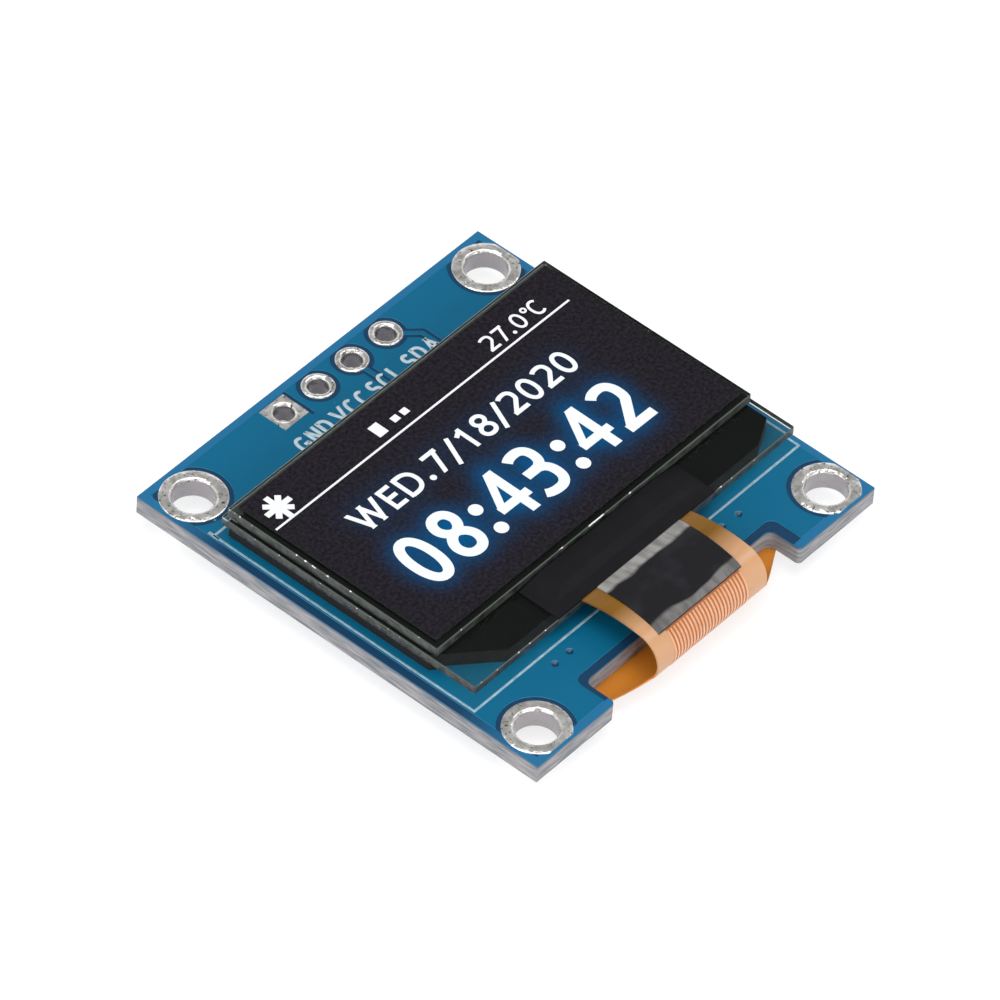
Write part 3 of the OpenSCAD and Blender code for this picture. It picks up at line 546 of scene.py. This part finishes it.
def polished_silicon():
    """The back of a thinned silicon die: dark grey and smooth, with fine grinding lines."""
    made, tree, place = patterned("ground_silicon_die")
    drawn_out = add(tree, "ShaderNodeMapping", {"Vector": place, "Scale": (0.1, 3, 1)})
    lines = add(tree, "ShaderNodeTexNoise", {
        "Vector": drawn_out.outputs[0], "Scale": 1 / (0.1 * MM),
    })
    roughness = add(tree, "ShaderNodeMapRange", {0: lines.outputs["Fac"], 3: 0.2, 4: 0.35})
    shader = add(tree, "ShaderNodeBsdfPrincipled", {
        "Base Color": linear("#3c3c42"),
        "Roughness": roughness.outputs[0],
    })
    add(tree, "ShaderNodeOutputMaterial", {"Surface": shader.outputs[0]})
    return made


def black_polyester_tape(name, low_hex, high_hex, sheen_bands=()):
    """Black polyester tape pressed down by hand: dull, with faint creases. Each sheen band is a
    painted reflection: a grey band with slanting streaks where the tape bends over an edge. It is
    given by its straight side along Y, its width towards the screen or away from it, and how grey
    it is."""
    streak_slant = math.radians(52)
    made, tree, place = patterned(name)
    axes = add(tree, "ShaderNodeSeparateXYZ", {"Vector": place})
    crease = add(tree, "ShaderNodeTexNoise", {
        "Vector": place, "Scale": 1 / (1.6 * MM), "Detail": 4,
    })
    smear = add(tree, "ShaderNodeMapRange", {0: crease.outputs["Fac"], 1: 0.5, 2: 0.75})
    colour = add(tree, "ShaderNodeMix", {
        0: smear.outputs[0], 6: linear(low_hex), 7: linear(high_hex),
    }, data_type="RGBA").outputs[2]
    slant = add(tree, "ShaderNodeMapping", {
        "Vector": place, "Rotation": (0, 0, streak_slant), "Scale": (1, 0.22, 1),
    })
    streak_noise = add(tree, "ShaderNodeTexNoise", {
        "Vector": slant.outputs[0], "Scale": 1 / (0.55 * MM), "Detail": 3,
    })
    sheen_streaks = add(tree, "ShaderNodeMapRange", {
        0: streak_noise.outputs["Fac"], 1: 0.36, 2: 0.6, 3: 0.55, 4: 1.0,
    })
    wander = add(tree, "ShaderNodeTexNoise", {
        "Vector": place, "Scale": 1 / (2.2 * MM), "Detail": 1,
    })
    sway = add(tree, "ShaderNodeMapRange", {
        0: wander.outputs["Fac"], 1: 0.3, 2: 0.7, 3: 0.72, 4: 1.25,
    })
    # painted reflection: each band greys the tape where it bends over an edge, in slanting streaks
    for side, width, strength in sheen_bands:
        away = add(tree, "ShaderNodeMath", {0: axes.outputs["Y"], 1: side}, operation="SUBTRACT")
        into = add(tree, "ShaderNodeMath", {0: away.outputs[0], 1: 1 / width}, operation="MULTIPLY")
        share = add(tree, "ShaderNodeMath", {
            0: into.outputs[0], 1: sway.outputs[0],
        }, operation="DIVIDE")
        inner = add(tree, "ShaderNodeMapRange", {0: share.outputs[0], 1: 1.0, 2: 0.75})
        outer = add(tree, "ShaderNodeMapRange", {0: into.outputs[0], 1: 0.0, 2: 0.06})
        band = add(tree, "ShaderNodeMath", {
            0: inner.outputs[0], 1: outer.outputs[0],
        }, operation="MULTIPLY")
        painted_sheen = add(tree, "ShaderNodeMath", {
            0: band.outputs[0], 1: sheen_streaks.outputs[0],
        }, operation="MULTIPLY")
        painted_sheen = add(tree, "ShaderNodeMath", {
            0: painted_sheen.outputs[0], 1: strength,
        }, operation="MULTIPLY")
        colour = add(tree, "ShaderNodeMix", {
            0: painted_sheen.outputs[0], 6: colour, 7: linear("#a3a19e"),
        }, data_type="RGBA").outputs[2]
    bump = add(tree, "ShaderNodeBump", {
        "Height": crease.outputs["Fac"], "Distance": 0.04 * MM, "Strength": 0.3,
    })
    shader = add(tree, "ShaderNodeBsdfPrincipled", {
        "Base Color": colour,
        "Roughness": 0.6,
        "Specular IOR Level": 0.22,
        "Normal": bump.outputs[0],
        "IOR": 1.45,
    })
    add(tree, "ShaderNodeOutputMaterial", {"Surface": shader.outputs[0]})
    return made


def amber_polyimide():
    """Polyimide film over copper: amber with a smooth gloss, golden where it lies over the board.
    Where it bows to the fold it is painted paler, as sheen and light from the floor coming through
    it, and the tail is painted deep orange, as light through its single film. A fifth of the light
    passes it."""
    # where the film leaves the board to bow round, and how low its tail begins
    fold_from, fold_to = -9.8 * MM, -11.4 * MM
    tail_from, tail_to = 1.2 * MM, 0.5 * MM
    made, tree, place = patterned("amber_polyimide_film")
    axes = add(tree, "ShaderNodeSeparateXYZ", {"Vector": place})
    cloud = add(tree, "ShaderNodeTexNoise", {"Vector": place, "Scale": 1 / (1.5 * MM), "Detail": 3})
    golden = add(tree, "ShaderNodeMix", {
        0: cloud.outputs["Fac"], 6: linear("#7a5213"), 7: linear("#9c6d1f"),
    }, data_type="RGBA")
    fold_light_share = add(tree, "ShaderNodeMapRange", {0: axes.outputs["Y"], 1: fold_from, 2: fold_to})
    # painted light through the film at the fold: deep orange between the conductors, pale tan on
    # the film beside them
    low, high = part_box("cable_conductors")
    centred = add(tree, "ShaderNodeMath", {
        0: axes.outputs["X"], 1: (low.x + high.x) / 2,
    }, operation="SUBTRACT")
    spread = add(tree, "ShaderNodeMath", {0: centred.outputs[0]}, operation="ABSOLUTE")
    between = add(tree, "ShaderNodeMath", {
        0: spread.outputs[0], 1: (high.x - low.x) / 2,
    }, operation="LESS_THAN")
    painted_fold_light = add(tree, "ShaderNodeMix", {
        0: between.outputs[0], 6: linear("#dcab80"), 7: linear("#c07645"),
    }, data_type="RGBA")
    top = add(tree, "ShaderNodeMix", {
        0: fold_light_share.outputs[0], 6: golden.outputs[2], 7: painted_fold_light.outputs[2],
    }, data_type="RGBA")
    # painted light: low down, the tail is deep orange, as light comes through its single film
    low_down = add(tree, "ShaderNodeMapRange", {0: axes.outputs["Z"], 1: tail_from, 2: tail_to})
    colour = add(tree, "ShaderNodeMix", {
        0: low_down.outputs[0], 6: top.outputs[2], 7: linear("#df8c2a"),
    }, data_type="RGBA")
    solid = add(tree, "ShaderNodeBsdfPrincipled", {
        "Base Color": colour.outputs[2],
        "Roughness": 0.3,
        "IOR": 1.6,
    })
    passing = add(tree, "ShaderNodeBsdfTransparent", {"Color": linear("#f6c98a")})
    surface = add(tree, "ShaderNodeMixShader", {0: 0.8, 1: passing.outputs[0], 2: solid.outputs[0]})
    add(tree, "ShaderNodeOutputMaterial", {"Surface": surface.outputs[0]})
    return made


def rolled_copper():
    """Rolled copper foil under a thin polyimide cover: a pale pinkish amber sheen."""
    made, tree, place = patterned("rolled_copper_under_polyimide")
    rub = add(tree, "ShaderNodeTexNoise", {"Vector": place, "Scale": 1 / (0.8 * MM), "Detail": 3})
    colour = add(tree, "ShaderNodeMix", {
        0: rub.outputs["Fac"], 6: linear("#d79468"), 7: linear("#f0bd97"),
    }, data_type="RGBA")
    shader = add(tree, "ShaderNodeBsdfPrincipled", {
        "Base Color": colour.outputs[2],
        "Metallic": 0.25,
        "Roughness": 0.35,
        "Coat Weight": 0.4,
        "Coat Roughness": 0.2,
    })
    add(tree, "ShaderNodeOutputMaterial", {"Surface": shader.outputs[0]})
    return made


def from_middle(tree, place, low, high):
    """Places measured from the middle of a box, taken apart into X, Y and Z."""
    centred = add(tree, "ShaderNodeMapping", {"Vector": place, "Location": -(low + high) / 2})
    return add(tree, "ShaderNodeSeparateXYZ", {"Vector": centred.outputs[0]})


def chip_ceramic(name, body_hex, fleck_hex, node_name):
    """A fired ceramic chip, with dipped and tinned ends along its longer side."""
    end_length = 0.31 * MM
    made, tree, place = patterned(name)
    low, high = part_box(node_name)
    long_axis = "X" if high.x - low.x > high.y - low.y else "Y"
    half = max(high.x - low.x, high.y - low.y) / 2
    axes = from_middle(tree, place, low, high)
    along = add(tree, "ShaderNodeMath", {0: axes.outputs[long_axis]}, operation="ABSOLUTE")
    cap = add(tree, "ShaderNodeMath", {
        0: along.outputs[0], 1: half - end_length,
    }, operation="GREATER_THAN")
    grain = add(tree, "ShaderNodeTexNoise", {
        "Vector": place, "Scale": 1 / (0.08 * MM), "Detail": 3,
    })
    body = add(tree, "ShaderNodeMix", {
        0: grain.outputs["Fac"], 6: linear(body_hex), 7: linear(fleck_hex),
    }, data_type="RGBA")
    colour = add(tree, "ShaderNodeMix", {
        0: cap.outputs[0], 6: body.outputs[2], 7: linear("#d9d7d3"),
    }, data_type="RGBA")
    roughness = add(tree, "ShaderNodeMapRange", {0: cap.outputs[0], 3: 0.55, 4: 0.28})
    shader = add(tree, "ShaderNodeBsdfPrincipled", {
        "Base Color": colour.outputs[2],
        "Metallic": cap.outputs[0],
        "Roughness": roughness.outputs[0],
    })
    add(tree, "ShaderNodeOutputMaterial", {"Surface": shader.outputs[0]})
    return made


def moulded_epoxy(name, node_name, case_half):
    """A transfer-moulded epoxy case, matt black, with tinned legs outside it. Its half width along
    Y is case_half."""
    leg_from = case_half + 0.01 * MM
    made, tree, place = patterned(name)
    axes = from_middle(tree, place, *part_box(node_name))
    across = add(tree, "ShaderNodeMath", {0: axes.outputs["Y"]}, operation="ABSOLUTE")
    leg = add(tree, "ShaderNodeMath", {0: across.outputs[0], 1: leg_from}, operation="GREATER_THAN")
    grain = add(tree, "ShaderNodeTexNoise", {
        "Vector": place, "Scale": 1 / (0.06 * MM), "Detail": 3,
    })
    case = add(tree, "ShaderNodeMix", {
        0: grain.outputs["Fac"], 6: linear("#141416"), 7: linear("#26262a"),
    }, data_type="RGBA")
    colour = add(tree, "ShaderNodeMix", {
        0: leg.outputs[0], 6: case.outputs[2], 7: linear("#dad8d4"),
    }, data_type="RGBA")
    roughness = add(tree, "ShaderNodeMapRange", {0: leg.outputs[0], 3: 0.6, 4: 0.28})
    bump = add(tree, "ShaderNodeBump", {"Height": grain.outputs["Fac"], "Distance": 0.004 * MM})
    shader = add(tree, "ShaderNodeBsdfPrincipled", {
        "Base Color": colour.outputs[2],
        "Metallic": leg.outputs[0],
        "Roughness": roughness.outputs[0],
        "Normal": bump.outputs[0],
    })
    add(tree, "ShaderNodeOutputMaterial", {"Surface": shader.outputs[0]})
    return made


def silkscreen_ink(name, thin_hex, thick_hex):
    """White epoxy ink, screen printed: matt, thin enough for the blue to tint it, and uneven."""
    made, tree, place = patterned(name)
    uneven = add(tree, "ShaderNodeTexNoise", {
        "Vector": place, "Scale": 1 / (0.3 * MM), "Detail": 4,
    })
    colour = add(tree, "ShaderNodeMix", {
        0: uneven.outputs["Fac"], 6: linear(thin_hex), 7: linear(thick_hex),
    }, data_type="RGBA")
    shader = add(tree, "ShaderNodeBsdfPrincipled", {
        "Base Color": colour.outputs[2], "Roughness": 0.7,
    })
    add(tree, "ShaderNodeOutputMaterial", {"Surface": shader.outputs[0]})
    return made


def lit_layers():
    """Organic layers where a current lights them: plain white light, a touch uneven from dot to
    dot."""
    made, tree, place = patterned("lit_white_layers")
    uneven = add(tree, "ShaderNodeTexNoise", {
        "Vector": place, "Scale": 1 / (0.2 * MM), "Detail": 2,
    })
    light = add(tree, "ShaderNodeMix", {
        0: uneven.outputs["Fac"], 6: linear("#f4fbff"), 7: linear("#ffffff"),
    }, data_type="RGBA")
    shader = add(tree, "ShaderNodeBsdfPrincipled", {
        "Base Color": linear("#000000"),
        "Emission Color": light.outputs[2],
        "Emission Strength": 1.0,
        "Roughness": 0.4,
    })
    add(tree, "ShaderNodeOutputMaterial", {"Surface": shader.outputs[0]})
    return made


def spread_light():
    """Blue light that spreads in the cover round what is lit, as strong as the piece's own
    attribute says."""
    made, tree = blank("blue_light_spread")
    strength = add(tree, "ShaderNodeAttribute", attribute_name="glow").outputs["Fac"]
    clear = add(tree, "ShaderNodeBsdfTransparent")
    light = add(tree, "ShaderNodeEmission", {"Color": linear("#0070b3"), "Strength": 1.0})
    surface = add(tree, "ShaderNodeMixShader", {
        0: strength, 1: clear.outputs[0], 2: light.outputs[0],
    })
    add(tree, "ShaderNodeOutputMaterial", {"Surface": surface.outputs[0]})
    return made


def dress_packed_nodes():
    """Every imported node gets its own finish."""
    tin = hot_air_levelled_tin("hot_air_levelled_tin", "#aaa6aa")
    # painted shade: the narrow header holes get darker barrel walls
    header_tin = hot_air_levelled_tin("hot_air_levelled_tin_shaded_narrow_holes", "#7d7a80")
    flake_at = ((COVER_LOW.x + COVER_HIGH.x) / 2, COVER_LOW.y, COVER_HIGH.z)
    finishes = {
        "circuit_board": solder_mask(),
        "foam_tape": closed_cell_foam(),
        "rear_glass": display_glass("rear_display_glass", "#2b2c31", 0.7),
        "front_glass": display_glass("front_display_glass", "#1d231f", 0.85, flake_at),
        "polarizer": polarizer_film(),
        "emitting_film": emitting_layers(),
        "driver_chip": polished_silicon(),
        "edge_seal": cured_epoxy_seal(),
        "chip_tape": black_polyester_tape("black_tape_over_chip", "#0d0c10", "#131217"),
        # painted reflections along the panel's front edge and at the tape's end
        "cable_tape": black_polyester_tape("black_tape_on_cable", "#16151a", "#26252a", (
            (PANEL_FRONT - 0.02 * MM, -0.85 * MM, 0.95), (TAPE_END + 0.02 * MM, 0.6 * MM, 0.5),
        )),
        "flat_cable": amber_polyimide(),
        "cable_conductors": rolled_copper(),
        "cable_joints": tin,
        "solder_joints": tin,
        "regulator": moulded_epoxy("moulded_epoxy_regulator", "regulator", 0.675 * MM),
        "diode": moulded_epoxy("moulded_epoxy_diode", "diode", 0.65 * MM),
    }
    for name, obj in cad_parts.items():
        if name in finishes:
            dress(obj, finishes[name])
        elif name.startswith("header_ring_"):
            dress(obj, header_tin)
        elif name.startswith("mounting_ring_"):
            dress(obj, tin)
        elif name.startswith("capacitor_"):
            dress(obj, chip_ceramic("fired_" + name, "#9c8058", "#b59a70", name))
        elif name.startswith("resistor_"):
            dress(obj, chip_ceramic("coated_" + name, "#141417", "#1f1f24", name))


# ---------------------------------------------------------------- strokes and letters
# A glyph is drawn by a nib on a unit square: U runs over its width and V over its height, both
# to the middle of the stroke. Each has its width and its shift in cap heights, and its list of
# strokes. A curved stroke stands past the lines by the overshoot, in cap heights.
OVERSHOOT = 0.02
RING_SIDES = 16


def bow(cu, cv, ru, rv, start, end, left=None, above=2.3, below=2.3):
    """Points of a squarish arc round (cu, cv), anticlockwise where end is larger than start. Its
    radius may differ to the left, and its squareness above and below the middle."""
    steps = max(4, round(abs(end - start) / 10))
    points = []
    for i in range(steps + 1):
        angle = math.radians(start + (end - start) * i / steps)
        c, s = math.cos(angle), math.sin(angle)
        power = 2 / (above if s > 0 else below)
        wide = ru if c > 0 or left is None else left
        points.append((
            cu + wide * math.copysign(abs(c) ** power, c),
            cv + rv * math.copysign(abs(s) ** power, s),
        ))
    return points


def straight(u0, v0, u1, v1, weight=1.0):
    """A straight stroke, cut flush where it meets the lines the letters stand between."""
    return [(u0, v0), (u1, v1)], weight, "flush"


def curved(*parts):
    """A curved stroke, which stands a little past the lines."""
    return [point for part in parts for point in part], 1.0, "round"


def free(u0, v0, u1, v1):
    """A straight stroke with square ends, wherever they fall."""
    return [(u0, v0), (u1, v1)], 1.0, "free"


GLYPHS = {
    "0": (0.582, 0, [curved(bow(0.5, 0.5, 0.5, 0.5, 0, 360, above=2.2, below=2.2))]),
    "1": (0.345, -0.05, [straight(-0.1, 0.79, 1, 0.97), straight(1, 0, 1, 1)]),
    "2": (0.56, 0, [
        curved(bow(0.5, 0.729, 0.5, 0.291, 140, -35, left=0.739), [(-0.04, 0.02)]),
        straight(0, 0, 1, 0),
    ]),
    "3": (0.568, -0.03, [
        curved(bow(0.484, 0.784, 0.476, 0.245, 136, -90, left=0.675)),
        curved(bow(0.4365, 0.2556, 0.563, 0.2835, 90, -136, left=0.794)),
        straight(0.171, 0.537, 0.5, 0.537),
    ]),
    "4": (0.625, -0.015, [
        straight(0.771, 0, 0.771, 1), straight(0, 0.295, 1, 0.295, 0.91),
        straight(0.775, 1.1, -0.077, 0.295, 0.78),
    ]),
    "7": (0.565, 0, [straight(0, 1, 1, 1), straight(0.92, 1, 0.3, 0)]),
    "8": (0.582, 0, [
        curved(bow(0.535, 0.766, 0.435, 0.234, -90, 270, above=2.2, below=1.75)),
        curved(bow(0.5, 0.266, 0.5, 0.266, 90, 450, above=1.75, below=2.2)),
    ]),
    "W": (0.995, 0, [
        straight(0, 1, 0.26, 0), straight(0.26, 0, 0.5, 1),
        straight(0.5, 1, 0.74, 0), straight(0.74, 0, 1, 1),
    ]),
    "E": (0.448, 0, [
        straight(0, 0, 0, 1), straight(0, 1, 1, 1),
        straight(0, 0, 1, 0), straight(0, 0.52, 0.9, 0.52),
    ]),
    "D": (0.65, 0, [
        straight(0, 0, 0, 1), curved([(0, 1)], bow(0.3, 0.5, 0.7, 0.5, 90, -90), [(0, 0)]),
    ]),
    "G": (0.73, 0, [
        curved(bow(0.5, 0.5, 0.5, 0.5, 48, 325)),
        free(0.98, 0.12, 0.98, 0.45), free(0.55, 0.45, 1.1, 0.45),
    ]),
    "N": (0.655, 0, [straight(0, 0, 0, 1), straight(0.12, 1, 0.88, 0), straight(1, 0, 1, 1)]),
    "V": (0.73, 0, [straight(0, 1, 0.5, 0), straight(0.5, 0, 1, 1)]),
    "C": (0.65, 0, [curved(bow(0.5, 0.5, 0.5, 0.5, 48, 312))]),
    "S": (0.60, 0, [
        curved(bow(0.5, 0.75, 0.44, 0.25, 30, 270), bow(0.5, 0.25, 0.5, 0.25, 90, -150)),
    ]),
    "L": (0.41, 0, [straight(0, 0, 0, 1), straight(0, 0, 1, 0)]),
    "A": (0.73, 0, [
        straight(0, 0, 0.5, 1), straight(0.5, 1, 1, 0), straight(0.25, 0.3, 0.75, 0.3),
    ]),
    "/": (0.554, 0, [free(0, -0.25, 1, 1.065)]),
}


def ring(cx, cy, radius, nib):
    """A closed round stroke."""
    points = [
        (cx + radius * math.cos(math.tau * i / RING_SIDES),
         cy + radius * math.sin(math.tau * i / RING_SIDES))
        for i in range(RING_SIDES)
    ]
    return points, nib, True, None


def dot(cx, cy, size):
    """A filled round dot, drawn as a ring of half its size with a nib of half its size."""
    return ring(cx, cy, size / 4, size / 2)


def letter_strokes(text, left, baseline, height, nib, gap, cell=0.0, widen=1.0):
    """Strokes of a line of text, each as its points, its width, whether it closes, and the two
    lines it is cut at. Figures stand in the middle of cells of equal width."""
    strokes = []
    x = left
    for char in text:
        if char == ".":
            strokes.append(dot(x + 0.75 * nib, baseline + 0.75 * nib, 1.45 * nib))
            x += 1.5 * nib + gap
        elif char == ":":
            size = 1.38 * nib
            strokes.append(dot(x + (size + gap) / 2, baseline + size / 2, size))
            strokes.append(dot(x + (size + gap) / 2, baseline + 0.616 * height, size))
            x += size + gap
        elif char == "°":
            middle = (x + 0.26 * height, baseline + 0.8 * height)
            strokes.append(ring(*middle, 0.135 * height, 0.75 * nib))
            x += 0.49 * height
        else:
            share, shift, paths = GLYPHS[char]
            width = share * height * widen
            advance = 0.69 * cell if char == "/" else cell if char.isdigit() and cell else 0
            start = x + (advance - width) / 2 if advance else x
            for points, weight, kind in paths:
                swell = 1 + 2 * OVERSHOOT * height / (height - nib) if kind == "round" else 1
                placed = [Vector((
                    start + shift * height + nib / 2 + u * (width - nib),
                    baseline + height / 2 + (v - 0.5) * (height - nib) * swell,
                )) for u, v in points]
                closed = (placed[0] - placed[-1]).length < 0.01 * nib
                lines = None
                if kind == "flush":
                    along = (placed[1] - placed[0]).normalized()
                    level = abs(along.y) < 0.01
                    run_on = along * (nib / 2 if level else nib)
                    lines = None if level else (baseline, baseline + height)
                    if level or not 0 < points[0][1] < 1:
                        placed[0] -= run_on
                    if level or not 0 < points[1][1] < 1:
                        placed[1] += run_on
                strokes.append((placed[:-1] if closed else placed, nib * weight, closed, lines))
            x += advance or width + gap
    return strokes


def stroke_tubes(strokes):
    """One mesh of round tubes along the strokes."""
    data = bpy.data.curves.new("strokes", "CURVE")
    data.dimensions = "3D"
    data.bevel_depth = 0.5
    data.bevel_resolution = 1
    data.use_fill_caps = True
    for points, nib, closed, _ in strokes:
        spline = data.splines.new("POLY")
        spline.points.add(len(points) - 1)
        for point, (x, y) in zip(spline.points, points):
            point.co = (x, y, 0, 1)
            point.radius = nib
        spline.use_cyclic_u = closed
    drawn = bpy.data.objects.new("strokes", data)
    bpy.context.scene.collection.objects.link(drawn)
    bpy.context.view_layer.update()
    graph = bpy.context.evaluated_depsgraph_get()
    mesh = bpy.data.meshes.new_from_object(drawn.evaluated_get(graph))
    bpy.data.objects.remove(drawn)
    bpy.data.curves.remove(data)
    return mesh


def draw_strokes(name, strokes, face_z, thickness, finish, tilt=0.0):
    """Lays strokes, given in millimetres, as one flat piece on a face."""
    bm = bmesh.new()
    bm.from_mesh(stroke_tubes([stroke for stroke in strokes if not stroke[3]]))
    for lines in sorted({stroke[3] for stroke in strokes if stroke[3]}):
        part = bmesh.new()
        part.from_mesh(stroke_tubes([stroke for stroke in strokes if stroke[3] == lines]))
        for level, side in zip(lines, (-1, 1)):
            bmesh.ops.bisect_plane(
                part, geom=part.verts[:] + part.edges[:] + part.faces[:],
                plane_co=(0, level, 0), plane_no=(0, side, 0), clear_outer=True,
            )
            bmesh.ops.holes_fill(part, edges=[edge for edge in part.edges if edge.is_boundary])
        trimmed = bpy.data.meshes.new("trimmed")
        part.to_mesh(trimmed)
        part.free()
        bm.from_mesh(trimmed)
    widest = max(stroke[1] for stroke in strokes)
    flatten = thickness / (widest * MM)
    bmesh.ops.transform(bm, verts=bm.verts, matrix=Matrix.Rotation(tilt, 4, "Z"))
    bmesh.ops.scale(bm, verts=bm.verts, vec=(MM, MM, MM * flatten))
    bmesh.ops.translate(bm, verts=bm.verts, vec=(0, 0, face_z))
    bmesh.ops.remove_doubles(bm, verts=bm.verts, dist=0.0001 * MM)
    bmesh.ops.recalc_face_normals(bm, faces=bm.faces)
    piece = shape(name, bm, finish)
    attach(piece, "root")


# ---------------------------------------------------------------- what the screen shows
# Places, heights and nibs are in millimetres from the middle of the board.
CLOCK_TILT = math.radians(-0.65)
DATE_TILT = math.radians(-0.35)
RULE_TILT = math.radians(-0.2)
CLOCK_NIB = 0.56
DATE_LINE = {"baseline": 1.98, "height": 1.54, "nib": 0.25, "gap": 0.27}
RULE_AT = 5.36
SHORT_BARS_AT = (-1.73, -1.05)
LIT_THICKNESS = 0.012 * MM
LIT_LIFT = 0.004 * MM
GLOW_LIFT = 0.002 * MM
GLOW_BLUR = 0.6
GLOW_REACH = 3 * GLOW_BLUR
GLOW_STEP = 0.15
GLOW_SIZE = (21.6, 10.1)
GLOW_CENTRE = (-0.5, 0.1)
GLOW_GRID = (130, 62)
CLOCK_GLOW = 0.78
DATE_GLOW = 0.22


def bar(x0, y0, x1, y1, nib):
    """One straight stroke with square ends."""
    return [(x0, y0), (x1, y1)], nib, False, None


def sun_sign(cx, cy, reach, nib):
    """Eight rays and a round dot, with the slanting rays a tenth shorter."""
    strokes = []
    for i in range(4):
        turn = math.radians(45 * i)
        ray = reach if i % 2 == 0 else 0.9 * reach
        dx, dy = ray * math.cos(turn), ray * math.sin(turn)
        strokes.append(bar(cx - dx, cy - dy, cx + dx, cy + dy, nib))
    strokes.append(dot(cx, cy, 2.2 * nib))
    return strokes


def light_screen():
    """Clock, date, temperature, a rule and four small signs, lit on the screen's face."""
    clock = letter_strokes(
        "08:43:42", left=-9.08, baseline=-2.83, height=3.345, nib=CLOCK_NIB, gap=0.527, cell=2.385,
    )
    date = letter_strokes("WED.", left=-8.48, widen=1.25, **DATE_LINE)
    date += letter_strokes("7/18/2020", left=-3.156, cell=1.28, widen=1.16, **DATE_LINE)
    heat = letter_strokes(
        "27.0°C", left=4.933, baseline=5.72, height=1.035, nib=0.155, gap=0.13,
        cell=0.895, widen=1.2,
    )
    rule = [bar(-11.4, RULE_AT, 10.42, RULE_AT, nib=0.12)]
    signs = sun_sign(-10.17, 6.3, reach=0.87, nib=0.33)
    signs += [bar(-2.9, 5.83, -2.9, 6.69, nib=0.63)]
    signs += [bar(x, 5.97, x, 6.37, nib=0.43) for x in SHORT_BARS_AT]
    white = lit_layers()
    lit = (
        ("lit_clock", clock, CLOCK_TILT),
        ("lit_date", date, DATE_TILT),
        ("lit_temperature", heat, DATE_TILT),
        ("lit_rule", rule, RULE_TILT),
        ("lit_signs", signs, RULE_TILT),
    )
    for name, strokes, tilt in lit:
        draw_strokes(name, strokes, SCREEN_TOP + LIT_LIFT, LIT_THICKNESS, white, tilt)
    spread_glow(clock, date)


def spread_glow(clock, date):
    """A film on the screen that carries the blue haze of the strokes: their own shapes, blurred."""
    samples = []
    for strokes, share in ((clock, CLOCK_GLOW), (date, DATE_GLOW)):
        for points, nib, closed, _ in strokes:
            ends = points[1:] + points[:1] if closed else points[1:]
            for a, b in zip(points, ends):
                a, b = Vector(a), Vector(b)
                count = max(1, round((b - a).length / GLOW_STEP))
                weight = share * nib * (b - a).length / count / (math.tau * GLOW_BLUR ** 2)
                samples += [(a.lerp(b, (i + 0.5) / count).to_3d(), weight) for i in range(count)]
    tree = kdtree.KDTree(len(samples))
    for i, (place, _) in enumerate(samples):
        tree.insert(place, i)
    tree.balance()
    bm = bmesh.new()
    bmesh.ops.create_grid(bm, x_segments=GLOW_GRID[0], y_segments=GLOW_GRID[1], size=0.5)
    bmesh.ops.scale(bm, verts=bm.verts, vec=(*GLOW_SIZE, 1))
    bmesh.ops.translate(bm, verts=bm.verts, vec=(*GLOW_CENTRE, 0))
    layer = bm.verts.layers.float.new("glow")
    for vert in bm.verts:
        vert[layer] = sum(
            samples[index][1] * math.exp(-distance ** 2 / (2 * GLOW_BLUR ** 2))
            for _, index, distance in tree.find_range(vert.co, GLOW_REACH)
        )
    bmesh.ops.transform(bm, verts=bm.verts, matrix=Matrix.Rotation(CLOCK_TILT, 4, "Z"))
    bmesh.ops.scale(bm, verts=bm.verts, vec=(MM, MM, 1))
    bmesh.ops.translate(bm, verts=bm.verts, vec=(0, 0, SCREEN_TOP + GLOW_LIFT))
    piece = shape("lit_glow", bm, spread_light())
    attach(piece, "root")


# ---------------------------------------------------------------- printing on the board
# In millimetres from the middle of the board, as on the screen.
PRINT_THICKNESS = 0.015 * MM
FRAME_RIGHT = 12.25
FRAME_LEFT = -FRAME_RIGHT
FRAME_FRONT = -8.2
FRAME_BACK = 8.55
FRAME_NIB = 0.22
TICK_HALF = 0.35
LABEL_LINE = {"baseline": 8.93, "height": 1.1, "nib": 0.22, "gap": 0.1}
# Each label with its start, measured from its own pin.
LABELS = (("GND", -1.34), ("VCC", -1.13), ("SCL", -1.04), ("SDA", -0.96))


def print_board():
    """The frame round the panel and the pin labels on the front."""
    thin_ink = silkscreen_ink("white_ink_thin_line", "#54809a", "#b8d2dd")
    full_ink = silkscreen_ink("white_ink_letters", "#a3bfcd", "#d9e6ec")
    corners = [
        (FRAME_LEFT, FRAME_FRONT), (FRAME_RIGHT, FRAME_FRONT),
        (FRAME_RIGHT, FRAME_BACK), (FRAME_LEFT, FRAME_BACK),
    ]
    tick = bar(FRAME_LEFT, FRAME_BACK + TICK_HALF, FRAME_LEFT, FRAME_BACK - TICK_HALF, FRAME_NIB)
    outline = [(corners, FRAME_NIB, True, None), tick]
    draw_strokes("printed_frame", outline, MASK_TOP, PRINT_THICKNESS, thin_ink)
    for (label, start), pin in zip(LABELS, PIN_AT):
        strokes = letter_strokes(label, left=pin.x / MM + start, **LABEL_LINE)
        name = "printed_" + label.lower()
        draw_strokes(name, strokes, MASK_TOP, PRINT_THICKNESS, full_ink)


# ---------------------------------------------------------------- the scene
place_camera()
light_studio()
lay_floor()
dress_packed_nodes()
light_screen()
print_board()

scene = bpy.context.scene
scene.view_settings.view_transform = "Standard"
